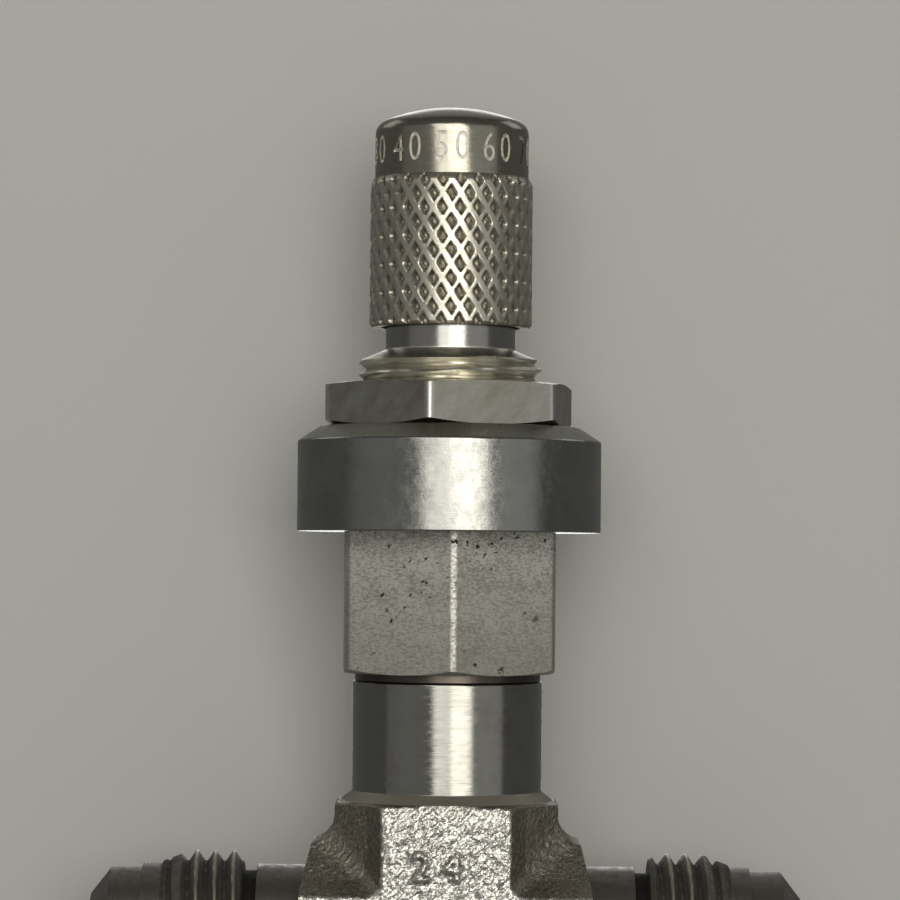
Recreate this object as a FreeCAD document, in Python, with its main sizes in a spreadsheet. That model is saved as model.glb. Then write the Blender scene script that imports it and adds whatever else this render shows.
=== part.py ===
import FreeCAD, Part
import math
import os
import re
import Sketcher

# A straight-pattern, bellows-sealed fine metering valve with a knurled handle, for panel mounting.
# +Z runs up the stem, the ports lie along X, and -Y is the front. The origin is the middle of the foot.

# Driving sizes in millimetres and degrees: name, value, meaning.
SIZES = (
    ("foot_rise", 1.2, "cross bar above the foot"),
    ("post_width", 15.2, "forging's upright, across X"),
    ("post_over_bar", 2.9, "top of the forging above the cross bar"),
    ("bar_span", 19.7, "forging's cross bar, end to end"),
    ("bar_rise", 6.3, "half the height of the cross bar"),
    ("corner_round", 2.0, "concave round between upright and bar"),
    ("foot_round", 0.8, "concave round between bar and foot"),
    ("parting_depth", 3.2, "half the depth of the upright sides"),
    ("wall_depth", 5.5, "depth where the bevel meets the pad"),
    ("pad_depth", 7.5, "front and back pads from the stem axis"),
    ("bevel_width", 2.3, "plan width of the forged bevel"),
    ("wall_width", 1.0, "plan width of the pad's steep side"),
    ("pad_round", 1.0, "concave round in the pad's corners"),
    ("skim_width", 2.5, "conical skim at the forging's top"),
    ("skim_drop", 1.25, "fall of the skim over its width"),
    ("shoulder_radius", 7.33, "cone under the barrel, at its foot"),
    ("shoulder_height", 0.6, "cone under the barrel"),
    ("barrel_radius", 6.535, "turned barrel"),
    ("barrel_length", 7.6, "turned barrel"),
    ("edge_break", 0.15, "small turned edges"),
    ("port_neck_radius", 4.625, "plain neck beside the forging"),
    ("port_neck_length", 3.1, "plain neck beside the forging"),
    ("relief_radius", 4.2, "groove where the port thread runs out"),
    ("relief_width", 1.0, "groove where the port thread runs out"),
    ("port_thread_radius", 5.556, "7/16-20 thread, over the crests"),
    ("port_thread_length", 5.5, "port thread"),
    ("port_thread_bevel", 0.4, "end of the port thread at the relief"),
    ("port_lead_length", 1.9, "tapered lead of the port thread"),
    ("port_lead_drop", 0.75, "fall of the lead over its length"),
    ("port_plain_radius", 4.65, "plain length past the thread"),
    ("port_plain_length", 1.4, "plain length past the thread"),
    ("nose_radius", 4.35, "sealing nose"),
    ("nose_length", 2.2, "cylindrical part of the nose"),
    ("nose_tip_radius", 2.6, "flat end of the nose"),
    ("nose_cone_length", 1.35, "cone of the nose"),
    ("port_bore_radius", 2.2, "bore of each port"),
    ("port_bore_end", 8.5, "inner end of the port bores from the axis"),
    ("drilling_radius", 0.9, "slanted and upright drillings"),
    ("inlet_drop", 2.9, "inlet drilling meets the upright one below the port axis"),
    ("outlet_rise", 1.5, "outlet drilling meets the chamber above its floor"),
    ("floor_rise", 3.5, "chamber floor above the port axis"),
    ("chamber_radius", 3.4, "flow chamber round the needle"),
    ("chamber_depth", 3.0, "flow chamber"),
    ("socket_radius", 5.3, "threaded socket in the barrel"),
    ("thread_gap", 0.05, "radial clearance of screwed pieces"),
    ("seat_radius", 1.8, "orifice insert"),
    ("seat_length", 3.0, "orifice insert"),
    ("orifice_radius", 0.4, "metering orifice"),
    ("orifice_entry", 0.4, "countersink of the orifice"),
    ("orifice_gap", 0.04, "radial clearance round the closed needle"),
    ("press_gap", 0.01, "radial clearance drawn for pressed pieces"),
    ("gasket_thickness", 0.6, "body gasket"),
    ("flange_thickness", 1.2, "bellows flange"),
    ("flange_bore", 1.9, "radius of the flange's bore"),
    ("bellows_length", 12.0, "bellows, closed valve"),
    ("bellows_crest", 3.7, "bellows, outer radius"),
    ("bellows_root", 2.7, "bellows, root radius"),
    ("bellows_wall", 0.3, "bellows, radial thickness drawn"),
    ("bellows_folds", 8, "number of convolutions"),
    ("cap_thickness", 1.2, "bellows cap"),
    ("needle_travel", 3.4925, "five and a half turns of the drive thread"),
    ("travel_margin", 0.5, "space left above the cap, fully open"),
    ("tip_reach", 2.4, "needle tip below the chamber floor"),
    ("tip_radius", 0.15, "end of the needle"),
    ("needle_radius", 1.0, "needle rod"),
    ("needle_cone", 1.1, "length of the cone above the tip"),
    ("needle_cone_start", 0.3, "cone's foot above the chamber floor"),
    ("stub_radius", 0.5, "needle's stub in the stem"),
    ("stub_length", 2.0, "needle's stub in the stem"),
    ("stem_start", 1.2, "stem's foot above the bellows' foot"),
    ("stem_radius", 1.2, "stem inside the bellows"),
    ("guide_radius", 1.6, "stem in its guide"),
    ("guide_flats", 2.4, "across the flats of the stem"),
    ("guide_length", 4.0, "guide bush"),
    ("running_gap", 0.05, "radial clearance of running pieces"),
    ("guide_step", 0.4, "stem's shoulder above the guide bush"),
    ("button_neck_radius", 1.0, "stem under its button head"),
    ("button_neck_length", 1.2, "stem under its button head"),
    ("button_radius", 1.5, "button head"),
    ("button_height", 1.2, "button head"),
    ("actuator_gap", 0.8, "actuator above the guide bush"),
    ("actuator_wall_foot", 0.2, "actuator's lip under the clip"),
    ("clip_thickness", 0.4, "swivel clip"),
    ("clip_groove_radius", 1.95, "groove for the swivel clip"),
    ("clip_opening", 40, "gap in the swivel clip, degrees"),
    ("ball_radius", 0.8, "thrust ball"),
    ("ball_gap", 0.03, "play above and below the ball"),
    ("drive_thread_radius", 2.38, "3/16-40 drive thread"),
    ("drive_start", 2.2, "drive bush above the actuator's foot"),
    ("drive_length", 7.0, "drive bush"),
    ("bush_radius", 3.6, "guide and drive bushes"),
    ("bellows_room", 4.0, "radius of the room round the bellows"),
    ("thread_room", 2.6, "radius of the room over the drive thread"),
    ("stop_margin", 0.3, "drive thread below its stop, fully open"),
    ("ledge_thickness", 0.8, "ledge that stops the drive thread"),
    ("shank_radius", 2.0, "actuator above its thread"),
    ("ledge_gap", 0.1, "radial clearance of the shank in the ledge"),
    ("backup_thickness", 0.6, "backup ring"),
    ("cord_radius", 0.6, "O-ring's cord"),
    ("gland_thickness", 0.8, "gland ring"),
    ("seat_ring_radius", 6.1, "bonnet's seat ring, seen as a groove"),
    ("seat_ring_height", 0.5, "bonnet's seat ring"),
    ("hex_across", 14.29, "bonnet hex, across the flats"),
    ("hex_height", 9.72, "bonnet hex"),
    ("hex_bevel", 0.36, "lower corner bevel of the hex"),
    ("hex_turn", 2.6, "bonnet hex turned about the stem"),
    ("panel_thread_radius", 6.35, "1/2-28 thread, over the crests"),
    ("thread_bevel", 0.8, "top of the panel thread"),
    ("panel_pitch", 0.907, "panel thread, 28 to the inch"),
    ("panel_thread_depth", 0.49, "panel thread, crest to root"),
    ("panel_root_width", 0.22, "flat root of the panel thread"),
    ("neck_radius", 4.5, "plain neck"),
    ("collar_radius", 10.5, "panel collar"),
    ("collar_height", 7.26, "panel collar"),
    ("collar_bevel_width", 1.5, "top bevel of the collar"),
    ("collar_bevel_height", 1.0, "top bevel of the collar"),
    ("collar_gap", 0.1, "radial clearance of the collar on the thread"),
    ("nut_across", 15.875, "panel nut, across the flats"),
    ("nut_height", 2.95, "panel nut"),
    ("nut_bevel_lower", 0.37, "lower corner bevel of the nut"),
    ("nut_bevel_upper", 0.2, "upper corner bevel of the nut"),
    ("nut_turn", -8.9, "panel nut turned about the stem"),
    ("spare_thread", 2.37, "panel thread above the nut"),
    ("neck_show", 1.55, "neck seen under the handle"),
    ("handle_height", 15.24, "handle"),
    ("handle_radius", 5.325, "smooth band of the handle"),
    ("crown_rise", 1.2, "dome of the handle"),
    ("crown_round", 0.95, "edge of the dome"),
    ("crown_thickness", 1.5, "metal over the handle's bore"),
    ("shank_gap", 0.3, "space over the shank"),
    ("recess_gap", 0.3, "radial clearance of the handle round the neck"),
    ("recess_margin", 0.8, "space over the neck"),
    ("knurl_radius", 5.62, "handle over the knurl"),
    ("knurl_length", 10.3, "knurled length"),
    ("knurl_depth", 0.26, "depth of the knurl's pits"),
    ("knurl_count", 28, "diamonds round the handle"),
    ("knurl_rows", 5, "diamonds along the handle"),
    ("knurl_start", 0.2, "bevel at the knurl's lower end"),
    ("knurl_finish", 0.45, "bevel at the knurl's upper end"),
    ("screw_drop", 3.4, "set screw below the handle's top"),
    ("screw_radius", 1.2, "set screw"),
    ("screw_length", 3.0, "set screw"),
    ("screw_point", 0.4, "bevel at the set screw's point"),
    ("screw_key", 1.27, "set screw's socket, across the flats"),
    ("screw_key_depth", 1.2, "set screw's socket"),
)
NAMES = {name for name, number, meaning in SIZES}

# Heights above the foot, as sums of the driving sizes.
PORT_AXIS = "(foot_rise + bar_rise)"
POST_TOP = f"({PORT_AXIS} + bar_rise + post_over_bar)"
CHAMBER_FLOOR = f"({PORT_AXIS} + floor_rise)"
SEAT_FOOT = f"({CHAMBER_FLOOR} - seat_length)"
GASKET_SEAT = f"({CHAMBER_FLOOR} + chamber_depth)"
FLANGE_FOOT = f"({GASKET_SEAT} + gasket_thickness)"
BELLOWS_FOOT = f"({FLANGE_FOOT} + flange_thickness)"
BELLOWS_TOP = f"({BELLOWS_FOOT} + bellows_length)"
CAP_TOP = f"({BELLOWS_TOP} + cap_thickness)"
STEM_FOOT = f"({BELLOWS_FOOT} + stem_start)"
GUIDE_FOOT = f"({CAP_TOP} + needle_travel + travel_margin)"
GUIDE_TOP = f"({GUIDE_FOOT} + guide_length)"
BUTTON_NECK_FOOT = f"({GUIDE_TOP} + guide_step)"
BUTTON_FOOT = f"({BUTTON_NECK_FOOT} + button_neck_length)"
BUTTON_TOP = f"({BUTTON_FOOT} + button_height)"
BALL_CENTRE = f"({BUTTON_TOP} + ball_gap + ball_radius)"
SOCKET_TOP = f"({BALL_CENTRE} + ball_radius + ball_gap)"
ACTUATOR_FOOT = f"({GUIDE_TOP} + actuator_gap)"
CLIP_FOOT = f"({ACTUATOR_FOOT} + actuator_wall_foot)"
DRIVE_FOOT = f"({ACTUATOR_FOOT} + drive_start)"
DRIVE_TOP = f"({DRIVE_FOOT} + drive_length)"
LEDGE_FOOT = f"({DRIVE_TOP} + needle_travel + stop_margin)"
LEDGE_TOP = f"({LEDGE_FOOT} + ledge_thickness)"
CORD_CENTRE = f"({LEDGE_TOP} + backup_thickness + cord_radius)"
GLAND_FOOT = f"({CORD_CENTRE} + cord_radius)"
NECK_TOP = f"({GLAND_FOOT} + gland_thickness)"
BARREL_FOOT = f"({POST_TOP} + shoulder_height)"
BARREL_TOP = f"({BARREL_FOOT} + barrel_length)"
HEX_FOOT = f"({BARREL_TOP} + seat_ring_height)"
HEX_TOP = f"({HEX_FOOT} + hex_height)"
COLLAR_TOP = f"({HEX_TOP} + collar_height)"
NUT_TOP = f"({COLLAR_TOP} + nut_height)"
THREAD_TOP = f"({NUT_TOP} + spare_thread)"
HANDLE_FOOT = f"({THREAD_TOP} + neck_show)"
HANDLE_TOP = f"({HANDLE_FOOT} + handle_height)"
HANDLE_BORE_TOP = f"({HANDLE_TOP} - crown_thickness)"
SHANK_TOP = f"({HANDLE_BORE_TOP} - shank_gap)"
RECESS_TOP = f"({NECK_TOP} + recess_margin)"
SCREW_HEIGHT = f"({HANDLE_TOP} - screw_drop)"

# Radii that seat on or run in a neighbour.
SPIGOT_RADIUS = "(socket_radius - thread_gap)"
NEEDLE_SEAT_RADIUS = "(orifice_radius - orifice_gap)"
PRESSED_BUSH_RADIUS = "(bush_radius - press_gap)"
BUTTON_ROOM_RADIUS = "(button_radius + 2 * running_gap)"
SHANK_HOLE_RADIUS = "(shank_radius + ledge_gap)"
CORD_RING_RADIUS = "(shank_radius + running_gap + cord_radius)"
SEAL_ROOM_RADIUS = f"({CORD_RING_RADIUS} + cord_radius + running_gap)"
HANDLE_BORE_RADIUS = "(shank_radius + press_gap)"
RECESS_RADIUS = "(neck_radius + recess_gap)"
CROWN_RADIUS = "((handle_radius ^ 2 + crown_rise ^ 2) / (2 * crown_rise))"


def write_sheet(doc):
    """The spreadsheet of driving sizes."""
    sheet = doc.addObject("Spreadsheet::Sheet", "Sizes")
    for row, (name, number, meaning) in enumerate(SIZES, 1):
        sheet.set(f"A{row}", name)
        sheet.set(f"B{row}", str(number))
        sheet.setAlias(f"B{row}", name)
        sheet.set(f"C{row}", meaning)
    doc.recompute()


def bound(text):
    """The expression with each size's name led by its sheet's."""
    return re.sub(r"[a-z_]+", lambda word: f"Sizes.{word[0]}" if word[0] in NAMES else word[0], text)


def value(doc, text):
    """The expression's number for the sizes in the sheet."""
    return float(doc.Sizes.evalExpression(bound(text)))


def new_body(doc, name):
    body = doc.addObject("PartDesign::Body", name)
    body.Label = name
    return body


def origin_plane(body, role):
    return next(plane for plane in body.Origin.OriginFeatures if plane.Role == role)


def arc_between(start, end, radius, clockwise):
    """The short arc from start to end, drawn counter-clockwise as sketches hold it."""
    chord = end - start
    side = FreeCAD.Vector(-chord.y, chord.x, 0).normalize()
    if clockwise:
        side = -side
    to_centre = math.sqrt(max(radius**2 - (chord.Length / 2) ** 2, 0))
    centre = start + chord * 0.5 + side * to_centre
    first, last = (end, start) if clockwise else (start, end)
    circle = Part.Circle(centre, FreeCAD.Vector(0, 0, 1), radius)
    angles = [math.atan2(spot.y - centre.y, spot.x - centre.x) for spot in (first, last)]
    return Part.ArcOfCircle(circle, angles[0], angles[1])


def bind_spot(sketch, index, end, axis, text, number):
    """Dimension one coordinate of a corner from the sketch's origin."""
    if text == "0":
        line = {"X": -2, "Y": -1}[axis]
        sketch.addConstraint(Sketcher.Constraint("PointOnObject", index, end, line))
        return
    made = sketch.addConstraint(Sketcher.Constraint(f"Distance{axis}", -1, 1, index, end, number))
    name = f"corner_{index}_{axis}"
    sketch.renameConstraint(made, name)
    sketch.setExpression(f"Constraints.{name}", bound(text))


def draw_outline(sketch, corners):
    """A closed outline. A corner is (x, y), or (x, y, radius, turn) where an arc leads on from it."""
    doc = sketch.Document
    spots = [FreeCAD.Vector(value(doc, c[0]), value(doc, c[1]), 0) for c in corners]
    base = sketch.GeometryCount
    ends = []
    for number, corner in enumerate(corners):
        start = spots[number]
        end = spots[(number + 1) % len(corners)]
        if len(corner) == 2:
            sketch.addGeometry(Part.LineSegment(start, end), False)
            ends.append((1, 2))
            continue
        clockwise = corner[3] == "clockwise"
        made = sketch.addGeometry(arc_between(start, end, value(doc, corner[2]), clockwise), False)
        ends.append((2, 1) if clockwise else (1, 2))
        radius = sketch.addConstraint(Sketcher.Constraint("Radius", made, value(doc, corner[2])))
        sketch.renameConstraint(radius, f"arc_{made}")
        sketch.setExpression(f"Constraints.arc_{made}", bound(corner[2]))
    for number, corner in enumerate(corners):
        after = (number + 1) % len(corners)
        end_here = (base + number, ends[number][1])
        start_there = (base + after, ends[after][0])
        sketch.addConstraint(Sketcher.Constraint("Coincident", *end_here, *start_there))
        bind_spot(sketch, base + number, ends[number][0], "X", corner[0], spots[number].x)
        bind_spot(sketch, base + number, ends[number][0], "Y", corner[1], spots[number].y)


def new_sketch(body, name, plane, outlines, offset=None):
    """A sketch on one of the body's own planes, shifted along the plane's normal by offset."""
    sketch = body.newObject("Sketcher::SketchObject", name)
    sketch.AttachmentSupport = [(origin_plane(body, plane), "")]
    sketch.MapMode = "FlatFace"
    if offset:
        sketch.setExpression("AttachmentOffset.Base.z", bound(offset))
    for corners in outlines:
        draw_outline(sketch, corners)
    return sketch


def spin(body, name, kind, sketch, axis="V_Axis", angle=None):
    """Revolve a sketch as added or removed metal."""
    feature = body.newObject(f"PartDesign::{kind}", name)
    feature.Profile = sketch
    feature.ReferenceAxis = (sketch, [axis])
    feature.Angle = 360
    if angle:
        feature.setExpression("Angle", bound(angle))
    sketch.Visibility = False
    return feature


def turned(doc, name, corners, angle=None):
    """A piece turned about the stem axis from corners (radius, height)."""
    body = new_body(doc, name)
    spin(body, "Turned", "Revolution", new_sketch(body, "Profile", "XZ_Plane", [corners]), angle=angle)
    return body


def ring(doc, name, inner, outer, foot, top):
    return turned(doc, name, [(inner, foot), (outer, foot), (outer, top), (inner, top)])


def hexagon(across):
    """Corners of a hexagon with one corner towards the front."""
    half = f"{across} / 2"
    side = f"{across} / sqrt(12)"
    tip = f"{across} / sqrt(3)"
    right = [("0", f"-{tip}"), (half, f"-{side}"), (half, side)]
    left = [("0", tip), (f"-{half}", side), (f"-{half}", f"-{side}")]
    return right + left


def hex_prism(body, name, across, foot, length):
    pad = body.newObject("PartDesign::Pad", name)
    pad.Profile = new_sketch(body, f"{name}Outline", "XY_Plane", [hexagon(across)], offset=foot)
    pad.setExpression("Length", bound(length))
    return pad


def bevel_hex_corners(body, name, across, face, fall):
    """Cone off the corners of a hexagon: none at the flats, and the whole fall at the corners."""
    flat = f"{across} / 2"
    corner = f"{across} / sqrt(3)"
    beyond = f"(2 * {corner} - {flat})"
    corners = [(flat, face), (beyond, face), (beyond, f"{face} + 2 * ({fall})")]
    return spin(body, name, "Groove", new_sketch(body, f"{name}Profile", "XZ_Plane", [corners]))


def drill(body, name, base, turn, radius, length, axis=FreeCAD.Vector(0, 1, 0)):
    """A straight drilling from base, its direction the +Z axis turned about axis."""
    hole = body.newObject("PartDesign::SubtractiveCylinder", name)
    hole.Placement = FreeCAD.Placement(FreeCAD.Vector(0, 0, 0), FreeCAD.Rotation(axis, 1))
    for letter, text in zip("xyz", base):
        hole.setExpression(f"Placement.Base.{letter}", bound(text))
    hole.setExpression("Placement.Rotation.Angle", bound(turn))
    hole.setExpression("Radius", bound(radius))
    hole.setExpression("Height", bound(length))
    return hole


def cross_outline(inset, upper_round):
    """The forging's outline in front view, its sides moved in by inset and its machined ends in place."""
    side = f"(post_width / 2 - {inset})"
    upper = f"({PORT_AXIS} + bar_rise - {inset})"
    lower = f"(foot_rise + {inset})"
    end = "bar_span / 2"
    return [
        (f"-{side}", "0"),
        (side, "0"),
        (side, f"{lower} - foot_round", "foot_round", "clockwise"),
        (f"{side} + foot_round", lower),
        (end, lower),
        (end, upper),
        (f"{side} + {upper_round}", upper, upper_round, "clockwise"),
        (side, f"{upper} + {upper_round}"),
        (side, POST_TOP),
        (f"-{side}", POST_TOP),
        (f"-{side}", f"{upper} + {upper_round}", upper_round, "clockwise"),
        (f"-{side} - {upper_round}", upper),
        (f"-({end})", upper),
        (f"-({end})", lower),
        (f"-{side} - foot_round", lower, "foot_round", "clockwise"),
        (f"-{side}", f"{lower} - foot_round"),
    ]


def forge_cross(body):
    """The forging: a cross with straight sides at the parting line, bevels and a raised pad."""
    stations = (
        ("-pad_depth", "(bevel_width + wall_width)", "pad_round"),
        ("-wall_depth", "bevel_width", "pad_round"),
        ("-parting_depth", "0", "corner_round"),
        ("parting_depth", "0", "corner_round"),
        ("wall_depth", "bevel_width", "pad_round"),
        ("pad_depth", "(bevel_width + wall_width)", "pad_round"),
    )
    sections = [
        new_sketch(body, f"Section{number}", "XZ_Plane", [cross_outline(inset, rounding)], offset=depth)
        for number, (depth, inset, rounding) in enumerate(stations)
    ]
    loft = body.newObject("PartDesign::AdditiveLoft", "Forging")
    loft.Profile = sections[0]
    loft.Sections = sections[1:]
    loft.Ruled = True


def thread_vee(middle, crest, depth, root_width):
    """Section of one turn of a 60 degree thread: (along, radius) corners, open beyond the crest."""
    root = f"({crest} - {depth})"
    beyond = f"({crest} + {depth} / 2)"
    root_half = f"{root_width} / 2"
    wide_half = f"({root_half} + 1.5 * {depth} * tan(30 deg))"
    return [
        (f"{middle} - {root_half}", root),
        (f"{middle} + {root_half}", root),
        (f"{middle} + {wide_half}", beyond),
        (f"{middle} - {wide_half}", beyond),
    ]


def turn_ports(body):
    """The right-hand threaded port with its bore, and its mirror image."""
    stations = (
        ("bar_span / 2 - chamber_radius", "port_neck_radius"),
        ("port_neck_length", "port_neck_radius"),
        ("0", "relief_radius"),
        ("relief_width", "relief_radius"),
        ("0", "(port_thread_radius - port_thread_bevel)"),
        ("port_thread_bevel", "port_thread_radius"),
        ("(port_thread_length - port_thread_bevel - port_lead_length)", "port_thread_radius"),
        ("port_lead_length", "(port_thread_radius - port_lead_drop)"),
        ("0", "port_plain_radius"),
        ("port_plain_length", "port_plain_radius"),
        ("0", "nose_radius"),
        ("nose_length", "nose_radius"),
        ("nose_cone_length", "nose_tip_radius"),
    )
    along = "bar_span / 2"
    corners = [(stations[0][0], "0"), stations[0]]
    for advance, radius in stations[1:]:
        along = f"{along} + {advance}"
        corners.append((along, radius))
    corners.append((along, "0"))
    outside = new_sketch(body, "PortProfile", "XY_Plane", [corners], offset=PORT_AXIS)
    port = spin(body, "Port", "Revolution", outside, axis="H_Axis")
    bore_corners = [
        ("port_bore_end", "0"),
        (f"{along} + 1", "0"),
        (f"{along} + 1", "port_bore_radius"),
        ("port_bore_end", "port_bore_radius"),
    ]
    inside = new_sketch(body, "PortBoreProfile", "XY_Plane", [bore_corners], offset=PORT_AXIS)
    bore = spin(body, "PortBore", "Groove", inside, axis="H_Axis")
    mirrored = body.newObject("PartDesign::Mirrored", "OtherPort")
    mirrored.Originals = [port, bore]
    mirrored.MirrorPlane = (origin_plane(body, "YZ_Plane"), [""])
    body.Tip = mirrored


def bore_body(body):
    """The socket for the bonnet, the flow chamber, the seat's pocket and the drillings to the ports."""
    corners = [
        ("0", f"{PORT_AXIS} - inlet_drop - drilling_radius"),
        ("drilling_radius", f"{PORT_AXIS} - inlet_drop"),
        ("drilling_radius", SEAT_FOOT),
        ("seat_radius", SEAT_FOOT),
        ("seat_radius", CHAMBER_FLOOR),
        ("chamber_radius", CHAMBER_FLOOR),
        ("chamber_radius", GASKET_SEAT),
        ("socket_radius", GASKET_SEAT),
        ("socket_radius", f"{BARREL_TOP} - edge_break"),
        ("socket_radius + edge_break", BARREL_TOP),
        ("0", BARREL_TOP),
    ]
    spin(body, "Socket", "Groove", new_sketch(body, "SocketProfile", "XZ_Plane", [corners]))
    inlet_length = "sqrt(port_bore_end ^ 2 + inlet_drop ^ 2)"
    drill(
        body,
        "InletDrilling",
        ("-port_bore_end", "0", PORT_AXIS),
        "atan2(port_bore_end; -inlet_drop)",
        "drilling_radius",
        inlet_length,
    )
    reach = "(port_bore_end - chamber_radius + drilling_radius)"
    rise = "(floor_rise + outlet_rise)"
    drill(
        body,
        "OutletDrilling",
        ("port_bore_end", "0", PORT_AXIS),
        f"atan2(-{reach}; {rise})",
        "drilling_radius",
        f"sqrt({reach} ^ 2 + {rise} ^ 2)",
    )


def make_valve_body(doc):
    body = new_body(doc, "valve_body")
    forge_cross(body)
    skim = [
        ("shoulder_radius", POST_TOP),
        ("shoulder_radius + skim_width", f"{POST_TOP} - skim_drop"),
        ("shoulder_radius + skim_width", f"{POST_TOP} + skim_drop"),
        ("shoulder_radius", f"{POST_TOP} + skim_drop"),
    ]
    spin(body, "Skim", "Groove", new_sketch(body, "SkimProfile", "XZ_Plane", [skim]))
    barrel = [
        ("0", f"{POST_TOP} - shoulder_height"),
        ("shoulder_radius", f"{POST_TOP} - shoulder_height"),
        ("shoulder_radius", POST_TOP),
        ("barrel_radius", BARREL_FOOT),
        ("barrel_radius", f"{BARREL_TOP} - edge_break"),
        ("barrel_radius - edge_break", BARREL_TOP),
        ("0", BARREL_TOP),
    ]
    spin(body, "Barrel", "Revolution", new_sketch(body, "BarrelProfile", "XZ_Plane", [barrel]))
    turn_ports(body)
    bore_body(body)
    return body


def make_seat_insert(doc):
    outer = "(seat_radius - press_gap)"
    countersink = "(orifice_radius + orifice_entry)"
    corners = [
        ("orifice_radius", SEAT_FOOT),
        (outer, SEAT_FOOT),
        (outer, CHAMBER_FLOOR),
        (countersink, CHAMBER_FLOOR),
        ("orifice_radius", f"{CHAMBER_FLOOR} - orifice_entry"),
    ]
    return turned(doc, "seat_insert", corners)


def make_body_gasket(doc):
    return ring(doc, "body_gasket", "chamber_radius", SPIGOT_RADIUS, GASKET_SEAT, FLANGE_FOOT)


def make_bellows_flange(doc):
    return ring(doc, "bellows_flange", "flange_bore", SPIGOT_RADIUS, FLANGE_FOOT, BELLOWS_FOOT)


def make_bellows(doc):
    """A tube of straight-sided folds between the flange and the cap."""
    folds = round(value(doc, "bellows_folds"))
    heights = [f"{BELLOWS_FOOT} + bellows_length * {step} / {2 * folds}" for step in range(2 * folds + 1)]
    radii = ["bellows_crest" if step % 2 else "bellows_root" for step in range(2 * folds + 1)]
    outside = list(zip(radii, heights))
    inside = [(f"{radius} - bellows_wall", height) for radius, height in reversed(outside)]
    return turned(doc, "bellows", outside + inside)


def make_bellows_cap(doc):
    return ring(doc, "bellows_cap", "(stem_radius + press_gap)", "bellows_crest", BELLOWS_TOP, CAP_TOP)


def make_needle(doc):
    cone_foot = f"{CHAMBER_FLOOR} + needle_cone_start"
    corners = [
        ("0", f"{CHAMBER_FLOOR} - tip_reach"),
        ("tip_radius", f"{CHAMBER_FLOOR} - tip_reach"),
        (NEEDLE_SEAT_RADIUS, CHAMBER_FLOOR),
        (NEEDLE_SEAT_RADIUS, cone_foot),
        ("needle_radius", f"{cone_foot} + needle_cone"),
        ("needle_radius", STEM_FOOT),
        ("stub_radius", STEM_FOOT),
        ("stub_radius", f"{STEM_FOOT} + stub_length"),
        ("0", f"{STEM_FOOT} + stub_length"),
    ]
    return turned(doc, "needle", corners)


def make_stem(doc):
    """The push rod: bored for the needle's stub, flatted where it is guided, with a button head."""
    stub_hole = "(stub_radius + press_gap)"
    stub_top = f"{STEM_FOOT} + stub_length + 4 * running_gap"
    corners = [
        (stub_hole, STEM_FOOT),
        ("stem_radius", STEM_FOOT),
        ("stem_radius", CAP_TOP),
        ("guide_radius", CAP_TOP),
        ("guide_radius", BUTTON_NECK_FOOT),
        ("button_neck_radius", BUTTON_NECK_FOOT),
        ("button_neck_radius", BUTTON_FOOT),
        ("button_radius", BUTTON_FOOT),
        ("button_radius", BUTTON_TOP),
        ("0", BUTTON_TOP),
        ("0", stub_top),
        (stub_hole, stub_top),
    ]
    body = turned(doc, "stem", corners)
    flat = "guide_flats / 2"
    flats = [
        [
            (f"{sign}{flat}", CAP_TOP),
            (f"{sign}2 * guide_radius", CAP_TOP),
            (f"{sign}2 * guide_radius", BUTTON_NECK_FOOT),
            (f"{sign}{flat}", BUTTON_NECK_FOOT),
        ]
        for sign in ("", "-")
    ]
    pocket = body.newObject("PartDesign::Pocket", "Flats")
    pocket.Profile = new_sketch(body, "FlatsOutline", "YZ_Plane", flats)
    pocket.Type = "ThroughAll"
    pocket.SideType = "Symmetric"
    return body


def make_guide_bush(doc):
    """A bush whose bore has two flats, so that the stem slides and can't turn."""
    bore = "(guide_radius + running_gap)"
    body = ring(doc, "guide_bush", bore, PRESSED_BUSH_RADIUS, GUIDE_FOOT, GUIDE_TOP)
    near = "(guide_flats / 2 + running_gap)"
    far = f"({bore} + 2 * running_gap)"
    keys = [
        [
            ("-guide_radius", f"{sign}{near}"),
            ("guide_radius", f"{sign}{near}"),
            ("guide_radius", f"{sign}{far}"),
            ("-guide_radius", f"{sign}{far}"),
        ]
        for sign in ("", "-")
    ]
    pad = body.newObject("PartDesign::Pad", "Keys")
    pad.Profile = new_sketch(body, "KeysOutline", "XY_Plane", keys, offset=GUIDE_FOOT)
    pad.setExpression("Length", bound("guide_length"))
    return body


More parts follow.
